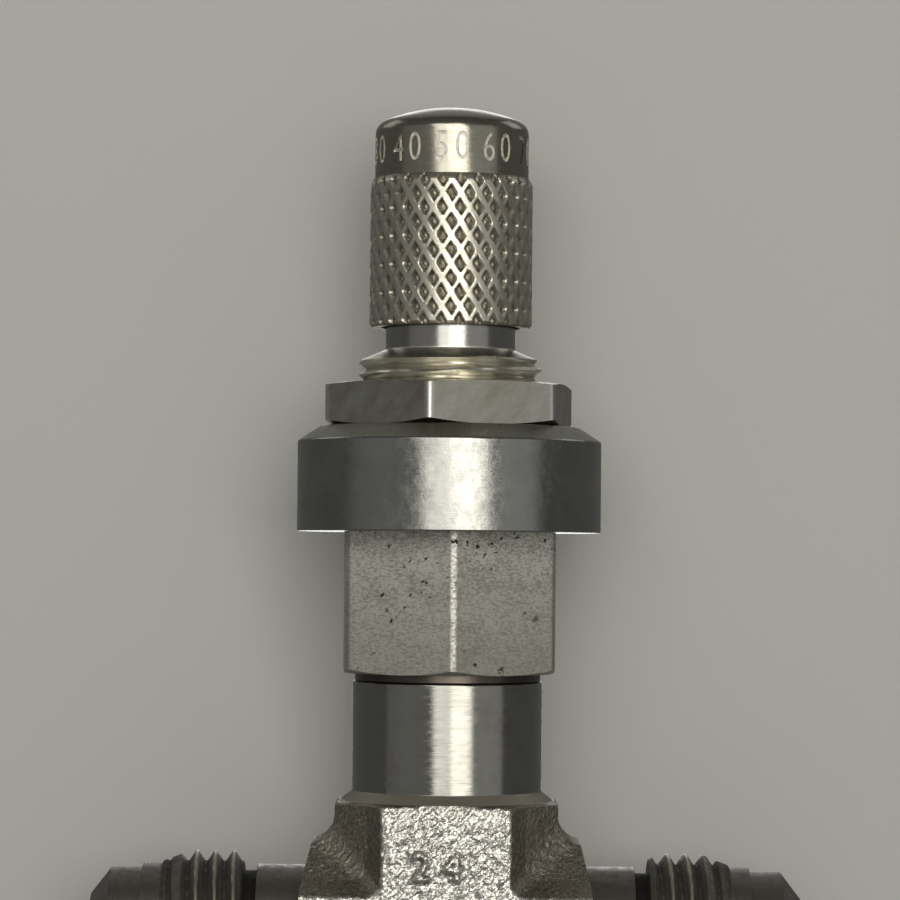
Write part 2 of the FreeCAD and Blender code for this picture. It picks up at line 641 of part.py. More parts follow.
def make_bonnet(doc):
    """Spigot, seat ring, hex, panel thread and neck in one piece, bored right through."""
    body = new_body(doc, "bonnet")
    hex_prism(body, "Hex", "hex_across", HEX_FOOT, "hex_height")
    bevel_hex_corners(body, "HexBevel", "hex_across", HEX_FOOT, "hex_bevel")
    outside = [
        ("0", BELLOWS_FOOT),
        (SPIGOT_RADIUS, BELLOWS_FOOT),
        (SPIGOT_RADIUS, BARREL_TOP),
        ("seat_ring_radius", BARREL_TOP),
        ("seat_ring_radius", HEX_TOP),
        ("panel_thread_radius", HEX_TOP),
        ("panel_thread_radius", f"{THREAD_TOP} - thread_bevel"),
        ("neck_radius", THREAD_TOP),
        ("neck_radius", NECK_TOP),
        ("0", NECK_TOP),
    ]
    spin(body, "Outside", "Revolution", new_sketch(body, "OutsideProfile", "XZ_Plane", [outside]))
    inside = [
        ("0", BELLOWS_FOOT),
        ("bellows_room", BELLOWS_FOOT),
        ("bellows_room", GUIDE_FOOT),
        ("bush_radius", GUIDE_FOOT),
        ("bush_radius", DRIVE_TOP),
        ("thread_room", DRIVE_TOP),
        ("thread_room", LEDGE_FOOT),
        (SHANK_HOLE_RADIUS, LEDGE_FOOT),
        (SHANK_HOLE_RADIUS, LEDGE_TOP),
        (SEAL_ROOM_RADIUS, LEDGE_TOP),
        (SEAL_ROOM_RADIUS, NECK_TOP),
        ("0", NECK_TOP),
    ]
    spin(body, "Inside", "Groove", new_sketch(body, "InsideProfile", "XZ_Plane", [inside]))
    turns = int(value(doc, f"({THREAD_TOP} - {HEX_TOP} - thread_bevel) / panel_pitch"))
    first_vee = f"{THREAD_TOP} - 1.5 * panel_pitch"
    vees = []
    for turn in range(turns):
        middle = f"{first_vee} - {turn} * panel_pitch"
        vee = thread_vee(middle, "panel_thread_radius", "panel_thread_depth", "panel_root_width")
        vees.append([(radius, along) for along, radius in vee])
    spin(body, "PanelThread", "Groove", new_sketch(body, "PanelThreadProfile", "XZ_Plane", vees))
    body.setExpression("Placement.Rotation.Angle", bound("hex_turn"))
    return body


def make_drive_bush(doc):
    bore = "(drive_thread_radius + running_gap)"
    return ring(doc, "drive_bush", bore, PRESSED_BUSH_RADIUS, DRIVE_FOOT, DRIVE_TOP)


def make_seals(doc):
    """Backup ring, O-ring and gland ring, one on the other in the neck."""
    outer = f"({SEAL_ROOM_RADIUS} - press_gap)"
    backup_top = f"{LEDGE_TOP} + backup_thickness"
    backup = ring(doc, "backup_ring", SHANK_HOLE_RADIUS, outer, LEDGE_TOP, backup_top)
    gland = ring(doc, "gland_ring", SHANK_HOLE_RADIUS, outer, GLAND_FOOT, NECK_TOP)
    cord = doc.addObject("Part::Torus", "stem_o_ring")
    cord.Label = "stem_o_ring"
    cord.setExpression("Radius1", bound(CORD_RING_RADIUS))
    cord.setExpression("Radius2", bound("cord_radius"))
    cord.setExpression("Placement.Base.z", bound(CORD_CENTRE))
    return [backup, cord, gland]


def make_thrust_ball(doc):
    ball = doc.addObject("Part::Sphere", "thrust_ball")
    ball.Label = "thrust_ball"
    ball.setExpression("Radius", bound("ball_radius"))
    ball.setExpression("Placement.Base.z", bound(BALL_CENTRE))
    return ball


def make_swivel_clip(doc):
    """An open ring in the actuator's groove, under the stem's button head."""
    inner = "(button_neck_radius + running_gap)"
    outer = "(clip_groove_radius - running_gap)"
    top = f"{CLIP_FOOT} + clip_thickness"
    corners = [(inner, CLIP_FOOT), (outer, CLIP_FOOT), (outer, top), (inner, top)]
    return turned(doc, "swivel_clip", corners, angle="360 - clip_opening")


def make_actuator_screw(doc):
    """The spindle: a socket for the stem's head below, the drive thread, and the shank for the handle."""
    groove_top = f"{CLIP_FOOT} + clip_thickness"
    corners = [
        ("0", SOCKET_TOP),
        (BUTTON_ROOM_RADIUS, SOCKET_TOP),
        (BUTTON_ROOM_RADIUS, groove_top),
        ("clip_groove_radius", groove_top),
        ("clip_groove_radius", CLIP_FOOT),
        (BUTTON_ROOM_RADIUS, CLIP_FOOT),
        (BUTTON_ROOM_RADIUS, ACTUATOR_FOOT),
        ("drive_thread_radius", ACTUATOR_FOOT),
        ("drive_thread_radius", DRIVE_TOP),
        ("shank_radius", DRIVE_TOP),
        ("shank_radius", SHANK_TOP),
        ("0", SHANK_TOP),
    ]
    return turned(doc, "actuator_screw", corners[::-1])


def make_panel_collar(doc):
    bore = "(panel_thread_radius + collar_gap)"
    corners = [
        (bore, HEX_TOP),
        ("collar_radius", HEX_TOP),
        ("collar_radius", f"{COLLAR_TOP} - collar_bevel_height"),
        ("collar_radius - collar_bevel_width", COLLAR_TOP),
        (bore, COLLAR_TOP),
    ]
    return turned(doc, "panel_collar", corners)


def make_panel_nut(doc):
    body = new_body(doc, "panel_nut")
    hex_prism(body, "Hex", "nut_across", COLLAR_TOP, "nut_height")
    bevel_hex_corners(body, "LowerBevel", "nut_across", COLLAR_TOP, "nut_bevel_lower")
    bevel_hex_corners(body, "UpperBevel", "nut_across", NUT_TOP, "-nut_bevel_upper")
    bore = "(panel_thread_radius + thread_gap)"
    corners = [("0", COLLAR_TOP), (bore, COLLAR_TOP), (bore, NUT_TOP), ("0", NUT_TOP)]
    spin(body, "Bore", "Groove", new_sketch(body, "BoreProfile", "XZ_Plane", [corners]))
    body.setExpression("Placement.Rotation.Angle", bound("nut_turn"))
    return body


def knurled_sleeve(doc):
    """The diamond knurl as a faceted sleeve: crossing ridges over pits, on a lattice of rings.

    Ring k holds its ridge crossings half a diamond round from ring k - 1, and its pits between them.
    """
    count = round(value(doc, "knurl_count"))
    rings = 2 * round(value(doc, "knurl_rows"))
    ridge = value(doc, "knurl_radius")
    pit = value(doc, "knurl_radius - knurl_depth")
    core = value(doc, "handle_radius - knurl_depth / 2")
    foot = value(doc, HANDLE_FOOT)
    first = value(doc, f"{HANDLE_FOOT} + knurl_start")
    last = value(doc, f"{HANDLE_FOOT} + knurl_length - knurl_finish")
    top = value(doc, f"{HANDLE_FOOT} + knurl_length")

    def spot(radius, half_step, height):
        angle = math.pi * half_step / count
        return FreeCAD.Vector(radius * math.cos(angle), radius * math.sin(angle), height)

    def lattice(ring_number, half_step):
        height = first + (last - first) * ring_number / rings
        radius = ridge if (half_step + ring_number) % 2 == 0 else pit
        return spot(radius, half_step, height)

    def triangle(*corners):
        return Part.Face(Part.makePolygon([*corners, corners[0]]))

    faces = []
    for half_step in range(2 * count):
        after = half_step + 1
        for ring_number in range(rings):
            low, low_after = lattice(ring_number, half_step), lattice(ring_number, after)
            high, high_after = lattice(ring_number + 1, half_step), lattice(ring_number + 1, after)
            if (half_step + ring_number) % 2 == 0:
                faces += [triangle(low, low_after, high_after), triangle(low, high_after, high)]
            else:
                faces += [triangle(low, low_after, high), triangle(low_after, high_after, high)]
        inner_foot, inner_foot_after = spot(core, half_step, foot), spot(core, after, foot)
        inner_top, inner_top_after = spot(core, half_step, top), spot(core, after, top)
        low, low_after = lattice(0, half_step), lattice(0, after)
        high, high_after = lattice(rings, half_step), lattice(rings, after)
        faces += [triangle(inner_foot, inner_foot_after, low), triangle(inner_foot_after, low_after, low)]
        faces += [triangle(high, high_after, inner_top), triangle(high_after, inner_top_after, inner_top)]
        faces += [triangle(inner_foot_after, inner_foot, inner_top)]
        faces += [triangle(inner_foot_after, inner_top, inner_top_after)]
    sleeve = doc.addObject("Part::Feature", "KnurlSleeve")
    sleeve.Shape = Part.makeSolid(Part.makeShell(faces))
    return sleeve


def make_handle(doc):
    """The cap: recess over the neck, bore for the shank, smooth band, domed crown and knurled grip."""
    core = new_body(doc, "HandleCore")
    crown_edge = f"{HANDLE_TOP} - crown_rise"
    corners = [
        (RECESS_RADIUS, HANDLE_FOOT),
        ("handle_radius", HANDLE_FOOT),
        ("handle_radius", crown_edge, CROWN_RADIUS, "anticlockwise"),
        ("0", HANDLE_TOP),
        ("0", HANDLE_BORE_TOP),
        (HANDLE_BORE_RADIUS, HANDLE_BORE_TOP),
        (HANDLE_BORE_RADIUS, RECESS_TOP),
        (RECESS_RADIUS, RECESS_TOP),
    ]
    cap = spin(core, "Cap", "Revolution", new_sketch(core, "CapProfile", "XZ_Plane", [corners]))
    doc.recompute()
    edge_height = value(doc, crown_edge)
    band = value(doc, "handle_radius")
    edge = next(
        f"Edge{number}"
        for number, edge in enumerate(cap.Shape.Edges, 1)
        if edge.Closed
        and abs(edge.BoundBox.ZMax - edge_height) < 1e-3
        and abs(edge.BoundBox.ZMin - edge_height) < 1e-3
        and abs(edge.BoundBox.XMax - band) < 1e-3
    )
    rounding = core.newObject("PartDesign::Fillet", "CrownRound")
    rounding.Base = (cap, [edge])
    rounding.setExpression("Radius", bound("crown_round"))
    drill(
        core,
        "ScrewHole",
        ("0", "0", SCREW_HEIGHT),
        "-90",
        "screw_radius + press_gap",
        "2 * handle_radius",
        axis=FreeCAD.Vector(1, 0, 0),
    )
    grip = doc.addObject("Part::MultiFuse", "handle")
    grip.Label = "handle"
    grip.Shapes = [core, knurled_sleeve(doc)]
    return grip


def make_handle_set_screw(doc):
    """A socket set screw, modelled upright and laid along +Y against the shank."""
    corners = [
        ("0", "0"),
        ("screw_radius - screw_point", "0"),
        ("screw_radius", "screw_point"),
        ("screw_radius", "screw_length"),
        ("0", "screw_length"),
    ]
    body = turned(doc, "handle_set_screw", corners)
    socket = body.newObject("PartDesign::Pocket", "Socket")
    outline = [hexagon("screw_key")]
    socket.Profile = new_sketch(body, "SocketOutline", "XY_Plane", outline, offset="screw_length")
    socket.setExpression("Length", bound("screw_key_depth"))
    laid_back = FreeCAD.Rotation(FreeCAD.Vector(1, 0, 0), -90)
    body.Placement = FreeCAD.Placement(FreeCAD.Vector(0, 0, 0), laid_back)
    body.setExpression("Placement.Base.y", bound("shank_radius"))
    body.setExpression("Placement.Base.z", bound(SCREW_HEIGHT))
    return body


def make_pieces(doc):
    return [
        make_valve_body(doc),
        make_seat_insert(doc),
        make_body_gasket(doc),
        make_bellows_flange(doc),
        make_bellows(doc),
        make_bellows_cap(doc),
        make_needle(doc),
        make_stem(doc),
        make_guide_bush(doc),
        make_bonnet(doc),
        make_drive_bush(doc),
        *make_seals(doc),
        make_thrust_ball(doc),
        make_swivel_clip(doc),
        make_actuator_screw(doc),
        make_panel_collar(doc),
        make_panel_nut(doc),
        make_handle(doc),
        make_handle_set_screw(doc),
    ]


def check(doc, pieces):
    """Stop on a failed object or on a piece that isn't one valid solid."""
    for item in doc.Objects:
        if "Invalid" in item.State or "Error" in item.State:
            raise RuntimeError(f"{item.Name} failed: {item.State}")
    for piece in pieces:
        shape = piece.Shape
        if shape.isNull() or not shape.isValid() or len(shape.Solids) != 1:
            raise RuntimeError(f"{piece.Label} isn't one valid solid")


def write_steps(pieces):
    os.makedirs("parts", exist_ok=True)
    for piece in pieces:
        piece.Shape.exportStep(f"parts/{piece.Label}.step")


document = FreeCAD.newDocument("MeteringValve")
write_sheet(document)
parts = make_pieces(document)
document.recompute()
check(document, parts)
write_steps(parts)
for part in parts:
    print(f"{part.Label}: {part.Shape.Volume:.3f} mm3, {len(part.Shape.Faces)} faces")
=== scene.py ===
import math

import bmesh
import bpy
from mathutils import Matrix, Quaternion, Vector

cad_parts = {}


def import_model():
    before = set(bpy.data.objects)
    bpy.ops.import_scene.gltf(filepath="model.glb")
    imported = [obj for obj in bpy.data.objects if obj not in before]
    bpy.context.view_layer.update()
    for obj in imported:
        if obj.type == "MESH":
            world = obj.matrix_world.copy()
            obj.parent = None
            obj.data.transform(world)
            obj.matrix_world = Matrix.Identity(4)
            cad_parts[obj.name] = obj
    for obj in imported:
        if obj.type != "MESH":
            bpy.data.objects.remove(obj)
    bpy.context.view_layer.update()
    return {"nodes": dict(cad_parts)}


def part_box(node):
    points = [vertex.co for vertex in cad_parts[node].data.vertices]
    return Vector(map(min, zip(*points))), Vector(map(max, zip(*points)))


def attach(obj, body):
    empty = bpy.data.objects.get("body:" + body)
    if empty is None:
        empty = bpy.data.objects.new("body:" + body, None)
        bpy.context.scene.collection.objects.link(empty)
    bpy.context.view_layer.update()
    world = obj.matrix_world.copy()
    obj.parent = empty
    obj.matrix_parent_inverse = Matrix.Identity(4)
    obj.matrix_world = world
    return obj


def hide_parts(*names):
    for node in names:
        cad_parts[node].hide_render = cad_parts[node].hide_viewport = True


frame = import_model()

# Studio: a pale table, and a pale card just behind the valve. A soft lamp stands to the right of the
# camera and a dimmer one to its left, with weak ones at both sides and above, and three for the far side.
# The camera stands square on to the stem, slightly below the handle.
MM = 0.001
WHITE = (1, 1, 1)
TABLE_COLOUR = (0.80, 0.79, 0.77)
CARD_COLOUR = (0.72, 0.712, 0.685)
ROOM_COLOUR = (0.10, 0.10, 0.096)
matte_roughness = 0.9
table_size = 3
card_size = 0.6
card_behind = 11.5 * MM
camera_distance = 256 * MM
camera_height = 33.2 * MM
camera_aside = 0.1 * MM
camera_pitch = math.radians(1.703)
camera_roll = math.radians(0.5)
lens_in_pixels = 3700
image_pixels = 900
sensor = 36
nearest_seen = 0.01
lamp_aim = (0, 0, 35 * MM)
lamp_spread = math.radians(120)
key_roll = math.radians(25)
lamps = (  # name, place, width, height, power, colour, roll
    ("key_lamp", (0.0685, -0.3738, 0.10), 0.170, 0.34, 0.236, (1.0, 0.97, 0.91), key_roll),
    ("dim_lamp", (-0.0877, -0.3697, 0.10), 0.120, 0.34, 0.098, (1.0, 0.98, 0.94), key_roll),
    ("right_lamp", (0.383, -0.321, 0.06), 0.364, 0.40, 0.050, WHITE, 0),
    ("left_lamp", (-0.372, -0.335, 0.06), 0.577, 0.40, 0.032, WHITE, 0),
    ("top_lamp", (0.0, 0.354, 0.389), 0.50, 0.70, 0.075, WHITE, 0),
    ("back_right_lamp", (0.46, 0.26, 0.37), 0.30, 0.30, 0.06, WHITE, 0),
    ("back_left_lamp", (-0.46, 0.26, 0.37), 0.30, 0.30, 0.06, WHITE, 0),
    ("back_lamp", (0.0, 0.42, 0.05), 0.10, 0.40, 0.08, WHITE, 0),
)


def plain_surface(name, colour, seen_from_behind=True):
    """A matte finish, which lets the view through from its back where seen_from_behind is False."""
    material = bpy.data.materials.new(name)
    material.use_nodes = True
    nodes = material.node_tree.nodes
    links = material.node_tree.links
    shader = nodes["Principled BSDF"]
    shader.inputs["Base Color"].default_value = (*colour, 1)
    shader.inputs["Roughness"].default_value = matte_roughness
    if not seen_from_behind:
        geometry = nodes.new("ShaderNodeNewGeometry")
        clear = nodes.new("ShaderNodeBsdfTransparent")
        choice = nodes.new("ShaderNodeMixShader")
        links.new(geometry.outputs["Backfacing"], choice.inputs[0])
        links.new(shader.outputs[0], choice.inputs[1])
        links.new(clear.outputs[0], choice.inputs[2])
        links.new(choice.outputs[0], nodes["Material Output"].inputs["Surface"])
    return material


def soft_lamp(name, place, width, height, power, colour, roll):
    """A rectangular lamp behind a grid, which faces the valve and is rolled about its own axis."""
    bpy.ops.object.light_add(type="AREA", location=place)
    lamp = bpy.context.object
    lamp.name = name
    lamp.data.shape = "RECTANGLE"
    lamp.data.size = width
    lamp.data.size_y = height
    lamp.data.energy = power
    lamp.data.color = colour
    lamp.data.spread = lamp_spread
    facing = (Vector(lamp_aim) - Vector(place)).to_track_quat("-Z", "Y")
    lamp.rotation_euler = (facing @ Quaternion((0, 0, 1), roll)).to_euler()
    lamp.visible_camera = False


bpy.ops.object.select_all(action="DESELECT")
bpy.ops.mesh.primitive_plane_add(size=table_size, location=(0, 0, 0))
table = bpy.context.object
table.name = "table"
table.data.materials.append(plain_surface("pale_table", TABLE_COLOUR))
table.visible_glossy = False

standing = (math.pi / 2, 0, 0)
card_centre = (0, card_behind, card_size / 2)
bpy.ops.mesh.primitive_plane_add(size=card_size, location=card_centre, rotation=standing)
card = bpy.context.object
card.name = "card"
card.data.materials.append(plain_surface("pale_card", CARD_COLOUR, seen_from_behind=False))
card.visible_shadow = False
card.visible_diffuse = False
card.visible_glossy = False

for lamp in lamps:
    soft_lamp(*lamp)
world = bpy.data.worlds.new("room")
world.use_nodes = True
world.node_tree.nodes["Background"].inputs["Color"].default_value = (*ROOM_COLOUR, 1)
bpy.context.scene.world = world
bpy.context.scene.view_settings.view_transform = "Standard"

tilt = (math.pi / 2 + camera_pitch, -camera_roll, 0)
bpy.ops.object.camera_add(location=(camera_aside, -camera_distance, camera_height), rotation=tilt)
camera = bpy.context.object
camera.data.sensor_width = sensor
camera.data.lens = sensor * lens_in_pixels / image_pixels
camera.data.clip_start = nearest_seen
bpy.context.scene.camera = camera

# Valve body, forging: a stainless cross forged in two dies, with straight sides at the parting line,
# bevels and a raised pad front and back. Its ends, top and foot are machined square, then it is drilled.
port_axis = 7.5 * MM
foot_rise = 1.2 * MM
bar_top = 13.8 * MM
bar_end = 9.85 * MM
post_top = 16.7 * MM
post_half = 7.6 * MM
forging_sections = (  # depth, inset of its outline, rounding of its inner corners
    (-7.5 * MM, 3.3 * MM, 1.0 * MM),
    (-5.5 * MM, 2.3 * MM, 1.0 * MM),
    (-3.2 * MM, 0.0 * MM, 2.0 * MM),
    (3.2 * MM, 0.0 * MM, 2.0 * MM),
    (5.5 * MM, 2.3 * MM, 1.0 * MM),
    (7.5 * MM, 3.3 * MM, 1.0 * MM),
)
foot_round = 0.8 * MM
rounding_steps = 6
rough_stock = 0.8 * MM
pad_depth = 7.5 * MM
pad_top = 15.5 * MM
pad_top_lean = 0.16
text_thickness = 1.0 * MM
die_number_height = 1.9 * MM
die_number_foot = 11.7 * MM
die_number_aside = -0.6 * MM
die_number_sink = 0.18 * MM
shoulder_radius = 7.33 * MM
skim_width = 2.5 * MM
skim_drop = 0.35 * MM
overrun = 1 * MM
TINY = 1e-6


def edit(piece):
    bpy.context.view_layer.objects.active = piece
    bpy.ops.object.mode_set(mode="EDIT")


def leave_edit():
    bpy.ops.object.mode_set(mode="OBJECT")


def only(piece):
    """Make piece the one selected object."""
    bpy.ops.object.select_all(action="DESELECT")
    piece.select_set(True)
    bpy.context.view_layer.objects.active = piece


def select_edges(wanted):
    """In edit mode, select the edges for which wanted(one end, other end) holds."""
    bpy.ops.mesh.select_mode(type="EDGE")
    bpy.ops.mesh.select_all(action="DESELECT")
    data = bpy.context.edit_object.data
    shape = bmesh.from_edit_mesh(data)
    for edge in shape.edges:
        edge.select_set(wanted(edge.verts[0].co, edge.verts[1].co))
    bmesh.update_edit_mesh(data)


def select_corners(wanted):
    """In edit mode, select the vertices for which wanted(place) holds."""
    bpy.ops.mesh.select_mode(type="VERT")
    bpy.ops.mesh.select_all(action="DESELECT")
    data = bpy.context.edit_object.data
    shape = bmesh.from_edit_mesh(data)
    for corner in shape.verts:
        corner.select_set(wanted(corner.co))
    shape.select_flush_mode()
    bmesh.update_edit_mesh(data)


def select_faces(wanted):
    """In edit mode, select the faces for which wanted(middle) holds."""
    bpy.ops.mesh.select_mode(type="FACE")
    bpy.ops.mesh.select_all(action="DESELECT")
    data = bpy.context.edit_object.data
    shape = bmesh.from_edit_mesh(data)
    for face in shape.faces:
        face.select_set(wanted(face.calc_center_median()))
    bmesh.update_edit_mesh(data)


def apply_modifier(piece, kind, **settings):
    only(piece)
    modifier = piece.modifiers.new(kind.lower(), kind)
    for name, value in settings.items():
        setattr(modifier, name, value)
    bpy.ops.object.modifier_apply(modifier=modifier.name)


def smooth(piece, degrees):
    """Smooth shading that leaves flat faces flat up to their rounded edges."""
    only(piece)
    bpy.ops.object.shade_smooth_by_angle(angle=math.radians(degrees))
    apply_modifier(piece, "WEIGHTED_NORMAL", keep_sharp=True)


def combine(piece, other, operation):
    """Cut other out of piece, or join the two, and delete other."""
    apply_modifier(piece, "BOOLEAN", operation=operation, object=other, solver="EXACT")
    bpy.data.objects.remove(other)


def settle(piece):
    """Put the piece's place in its mesh, merge doubles and turn its faces outwards."""
    only(piece)
    bpy.ops.object.transform_apply(location=True, rotation=True, scale=True)
    edit(piece)
    bpy.ops.mesh.select_all(action="SELECT")
    bpy.ops.mesh.remove_doubles(threshold=TINY)
    bpy.ops.mesh.normals_make_consistent(inside=False)
    leave_edit()


def dress(piece, *finishes):
    """Give the piece these materials and no other."""
    piece.data.materials.clear()
    for material in finishes:
        piece.data.materials.append(material)


def cross_section(depth, inset, rounding):
    """In edit mode, one cross-shaped face of the forging at that depth, its sides moved in by inset."""
    half = post_half - inset
    upper = bar_top - inset
    lower = foot_rise + inset
    centre = (0, depth, (upper + lower) / 2)
    bpy.ops.mesh.primitive_plane_add(size=2 * half, location=centre, rotation=standing)
    bpy.ops.transform.resize(value=(1, 1, (upper - lower) / (2 * half)), center_override=centre)

    def inside(spot):
        square = abs(spot.x) < half + TINY and lower - TINY < spot.z < upper + TINY
        return square and abs(spot.y - depth) < TINY

    arms = (
        (0, half, bar_end + rough_stock - half),
        (0, -half, half - bar_end - rough_stock),
        (2, upper, post_top + rough_stock - upper),
        (2, lower, -rough_stock - lower),
    )
    for axis, side, reach in arms:
        select_edges(lambda a, b: all(inside(v) and abs(v[axis] - side) < TINY for v in (a, b)))
        move = Vector((0, 0, 0))
        move[axis] = reach
        bpy.ops.mesh.extrude_edges_move(TRANSFORM_OT_translate={"value": move})
    select_faces(lambda middle: abs(middle.y - depth) < TINY)
    bpy.ops.mesh.dissolve_faces()
    for height, size in ((upper, rounding), (lower, foot_round)):
        select_corners(lambda v: inside(v) and abs(abs(v.x) - half) < TINY and abs(v.z - height) < TINY)
        bpy.ops.mesh.bevel(offset=size, segments=rounding_steps, affect="VERTICES", profile=0.5)


bpy.ops.object.select_all(action="DESELECT")
bpy.ops.mesh.primitive_plane_add(size=1)
forging = bpy.context.object
forging.name = "forged_body"
edit(forging)
bpy.ops.mesh.delete(type="VERT")
for section in forging_sections:
    cross_section(*section)
depths = [section[0] for section in forging_sections]
select_faces(lambda middle: abs(middle.y) < max(depths[:-1]) + TINY)
bpy.ops.mesh.delete(type="ONLY_FACE")
for pair in zip(depths, depths[1:]):
    select_edges(lambda a, b: abs(a.y - b.y) < TINY and min(abs(a.y - depth) for depth in pair) < TINY)
    bpy.ops.mesh.bridge_edge_loops()
leave_edit()
settle(forging)


def turn(name, profile, sides=144):
    """Lathe work about the stem axis: a circle drawn out ring by ring through (radius, height) corners.

    A profile starts and ends on the axis, or ends where it starts.
    """
    bpy.ops.object.select_all(action="DESELECT")
    on_axis = profile[0][0] == 0
    corners = profile[1:] if on_axis else profile
    radius, height = corners[0]
    fill = "TRIFAN" if on_axis else "NOTHING"
    foot = (0, 0, height)
    bpy.ops.mesh.primitive_circle_add(vertices=sides, radius=radius, fill_type=fill, location=foot)
    piece = bpy.context.object
    piece.name = name
    edit(piece)
    select_corners(lambda v: v.length > TINY)
    for next_radius, next_height in corners[1:]:
        rise = {"value": (0, 0, next_height - height)}
        bpy.ops.mesh.extrude_edges_move(TRANSFORM_OT_translate=rise)
        if next_radius == 0:
            bpy.ops.mesh.merge(type="CENTER")
            break
        if abs(next_radius - radius) > TINY:
            share = next_radius / radius
            bpy.ops.transform.resize(value=(share, share, 1), center_override=(0, 0, 0))
        radius, height = next_radius, next_height
    leave_edit()
    settle(piece)
    return piece


skim = turn(
    "skim",
    [
        (shoulder_radius, post_top),
        (shoulder_radius + skim_width, post_top - skim_drop),
        (shoulder_radius + skim_width, post_top + overrun),
        (shoulder_radius, post_top + overrun),
        (shoulder_radius, post_top),
    ],
)
combine(forging, skim, "DIFFERENCE")
edit(forging)
for side in (-1, 1):
    bpy.ops.mesh.select_all(action="SELECT")
    bpy.ops.mesh.bisect(
        plane_co=(0, side * pad_depth, pad_top),
        plane_no=(0, side, pad_top_lean),
        use_fill=True,
        clear_outer=True,
        threshold=TINY,
    )
leave_edit()


def upright_text(words, height):
    """Words that stand upright, centred on the origin and read from the front."""
    figure_share = 0.70
    bpy.ops.object.text_add()
    piece = bpy.context.object
    piece.data.body = words
    piece.data.size = height / figure_share
    piece.data.align_x = "CENTER"
    piece.data.resolution_u = 3
    piece.data.extrude = text_thickness / 2
    bpy.ops.object.convert(target="MESH")
    piece.rotation_euler = standing
    return piece


die_number = upright_text("2 4", die_number_height)
die_number.location = (die_number_aside, -pad_depth + die_number_sink, die_number_foot)
settle(die_number)
only(forging)
die_number.select_set(True)
bpy.ops.object.join()
skin_grain = 0.12 * MM
apply_modifier(forging, "REMESH", mode="VOXEL", voxel_size=skin_grain)
apply_modifier(forging, "SMOOTH", factor=0.5, iterations=5)

# The skin's waves and flakes slant, and they are half as high on the flanks as on the pads.
grain_slant = 0.7
grain_stretch = 2
flank_share = 0.5
pad_skin = 0.4 * MM
skin_layers = (  # texture, grain, kind of noise, height, level that stays where it is
    ("die_waves", 1.6 * MM, "SOFT_NOISE", 0.08 * MM, 0.5),
    ("scale_flakes", 0.38 * MM, "HARD_NOISE", 0.15 * MM, 0.3),
)
bpy.ops.object.empty_add(rotation=(0, grain_slant, 0))
grain_way = bpy.context.object
grain_way.scale = (1, 1, grain_stretch)
bpy.context.view_layer.update()
corners = forging.data.vertices
raised = [corner.index for corner in corners if abs(corner.co.y) > pad_depth - pad_skin]
skin = forging.vertex_groups.new(name="skin")
skin.add(range(len(corners)), flank_share, "REPLACE")
skin.add(raised, 1.0, "REPLACE")
for name, grain, noise_type, height, middle_level in skin_layers:
    texture = bpy.data.textures.new(name, "CLOUDS")
    texture.noise_scale = grain
    texture.noise_depth = 1
    texture.noise_type = noise_type
    apply_modifier(
        forging,
        "DISPLACE",
        texture=texture,
        strength=height,
        mid_level=middle_level,
        texture_coords="OBJECT",
        texture_coords_object=grain_way,
        vertex_group="skin",
    )
bpy.data.objects.remove(grain_way)

edit(forging)
end_draft = 0.232
draft_foot = bar_top - 2.8 * MM
machined = (  # a point on each machined face, and the way that it faces
    ((bar_end, 0, 0), (1, 0, 0)),
    ((-bar_end, 0, 0), (-1, 0, 0)),
    ((bar_end, 0, draft_foot), (1, 0, end_draft)),
    ((-bar_end, 0, draft_foot), (-1, 0, end_draft)),
    ((0, 0, post_top), (0, 0, 1)),
    ((0, 0, 0), (0, 0, -1)),
)
for place, outwards in machined:
    bpy.ops.mesh.select_all(action="SELECT")
    bpy.ops.mesh.bisect(plane_co=place, plane_no=outwards, use_fill=True, clear_outer=True, threshold=TINY)
leave_edit()


socket_radius = 5.3 * MM
chamber_radius = 3.4 * MM
drilling_radius = 0.9 * MM
seat_radius = 1.8 * MM
port_bore_radius = 2.2 * MM
port_bore_end = 8.5 * MM
port_bore_start = 11 * MM
inlet_foot = port_axis - 2.9 * MM
seat_foot = 8.0 * MM
chamber_floor = 11.0 * MM
gasket_seat = 14.0 * MM
outlet_height = 12.5 * MM
socket = turn(
    "socket",
    [
        (0, inlet_foot),
        (drilling_radius, inlet_foot),
        (drilling_radius, seat_foot),
        (seat_radius, seat_foot),
        (seat_radius, chamber_floor),
        (chamber_radius, chamber_floor),
        (chamber_radius, gasket_seat),
        (socket_radius, gasket_seat),
        (socket_radius, post_top + overrun),
        (0, post_top + overrun),
    ],
    sides=96,
)
combine(forging, socket, "DIFFERENCE")


def drill(piece, start, end, radius):
    """A straight hole from start to end."""
    way = Vector(end) - Vector(start)
    bpy.ops.mesh.primitive_cylinder_add(
        vertices=48,
        radius=radius,
        depth=way.length,
        location=(Vector(start) + Vector(end)) / 2,
        rotation=way.to_track_quat("Z", "Y").to_euler(),
    )
    combine(piece, bpy.context.object, "DIFFERENCE")


inlet_bore, outlet_bore = [(side * port_bore_end, 0, port_axis) for side in (-1, 1)]
chamber_side = (chamber_radius - drilling_radius, 0, outlet_height)
drill(forging, inlet_bore, (-port_bore_start, 0, port_axis), port_bore_radius)
drill(forging, outlet_bore, (port_bore_start, 0, port_axis), port_bore_radius)
drill(forging, inlet_bore, (0, 0, inlet_foot), drilling_radius)
drill(forging, outlet_bore, chamber_side, drilling_radius)
settle(forging)


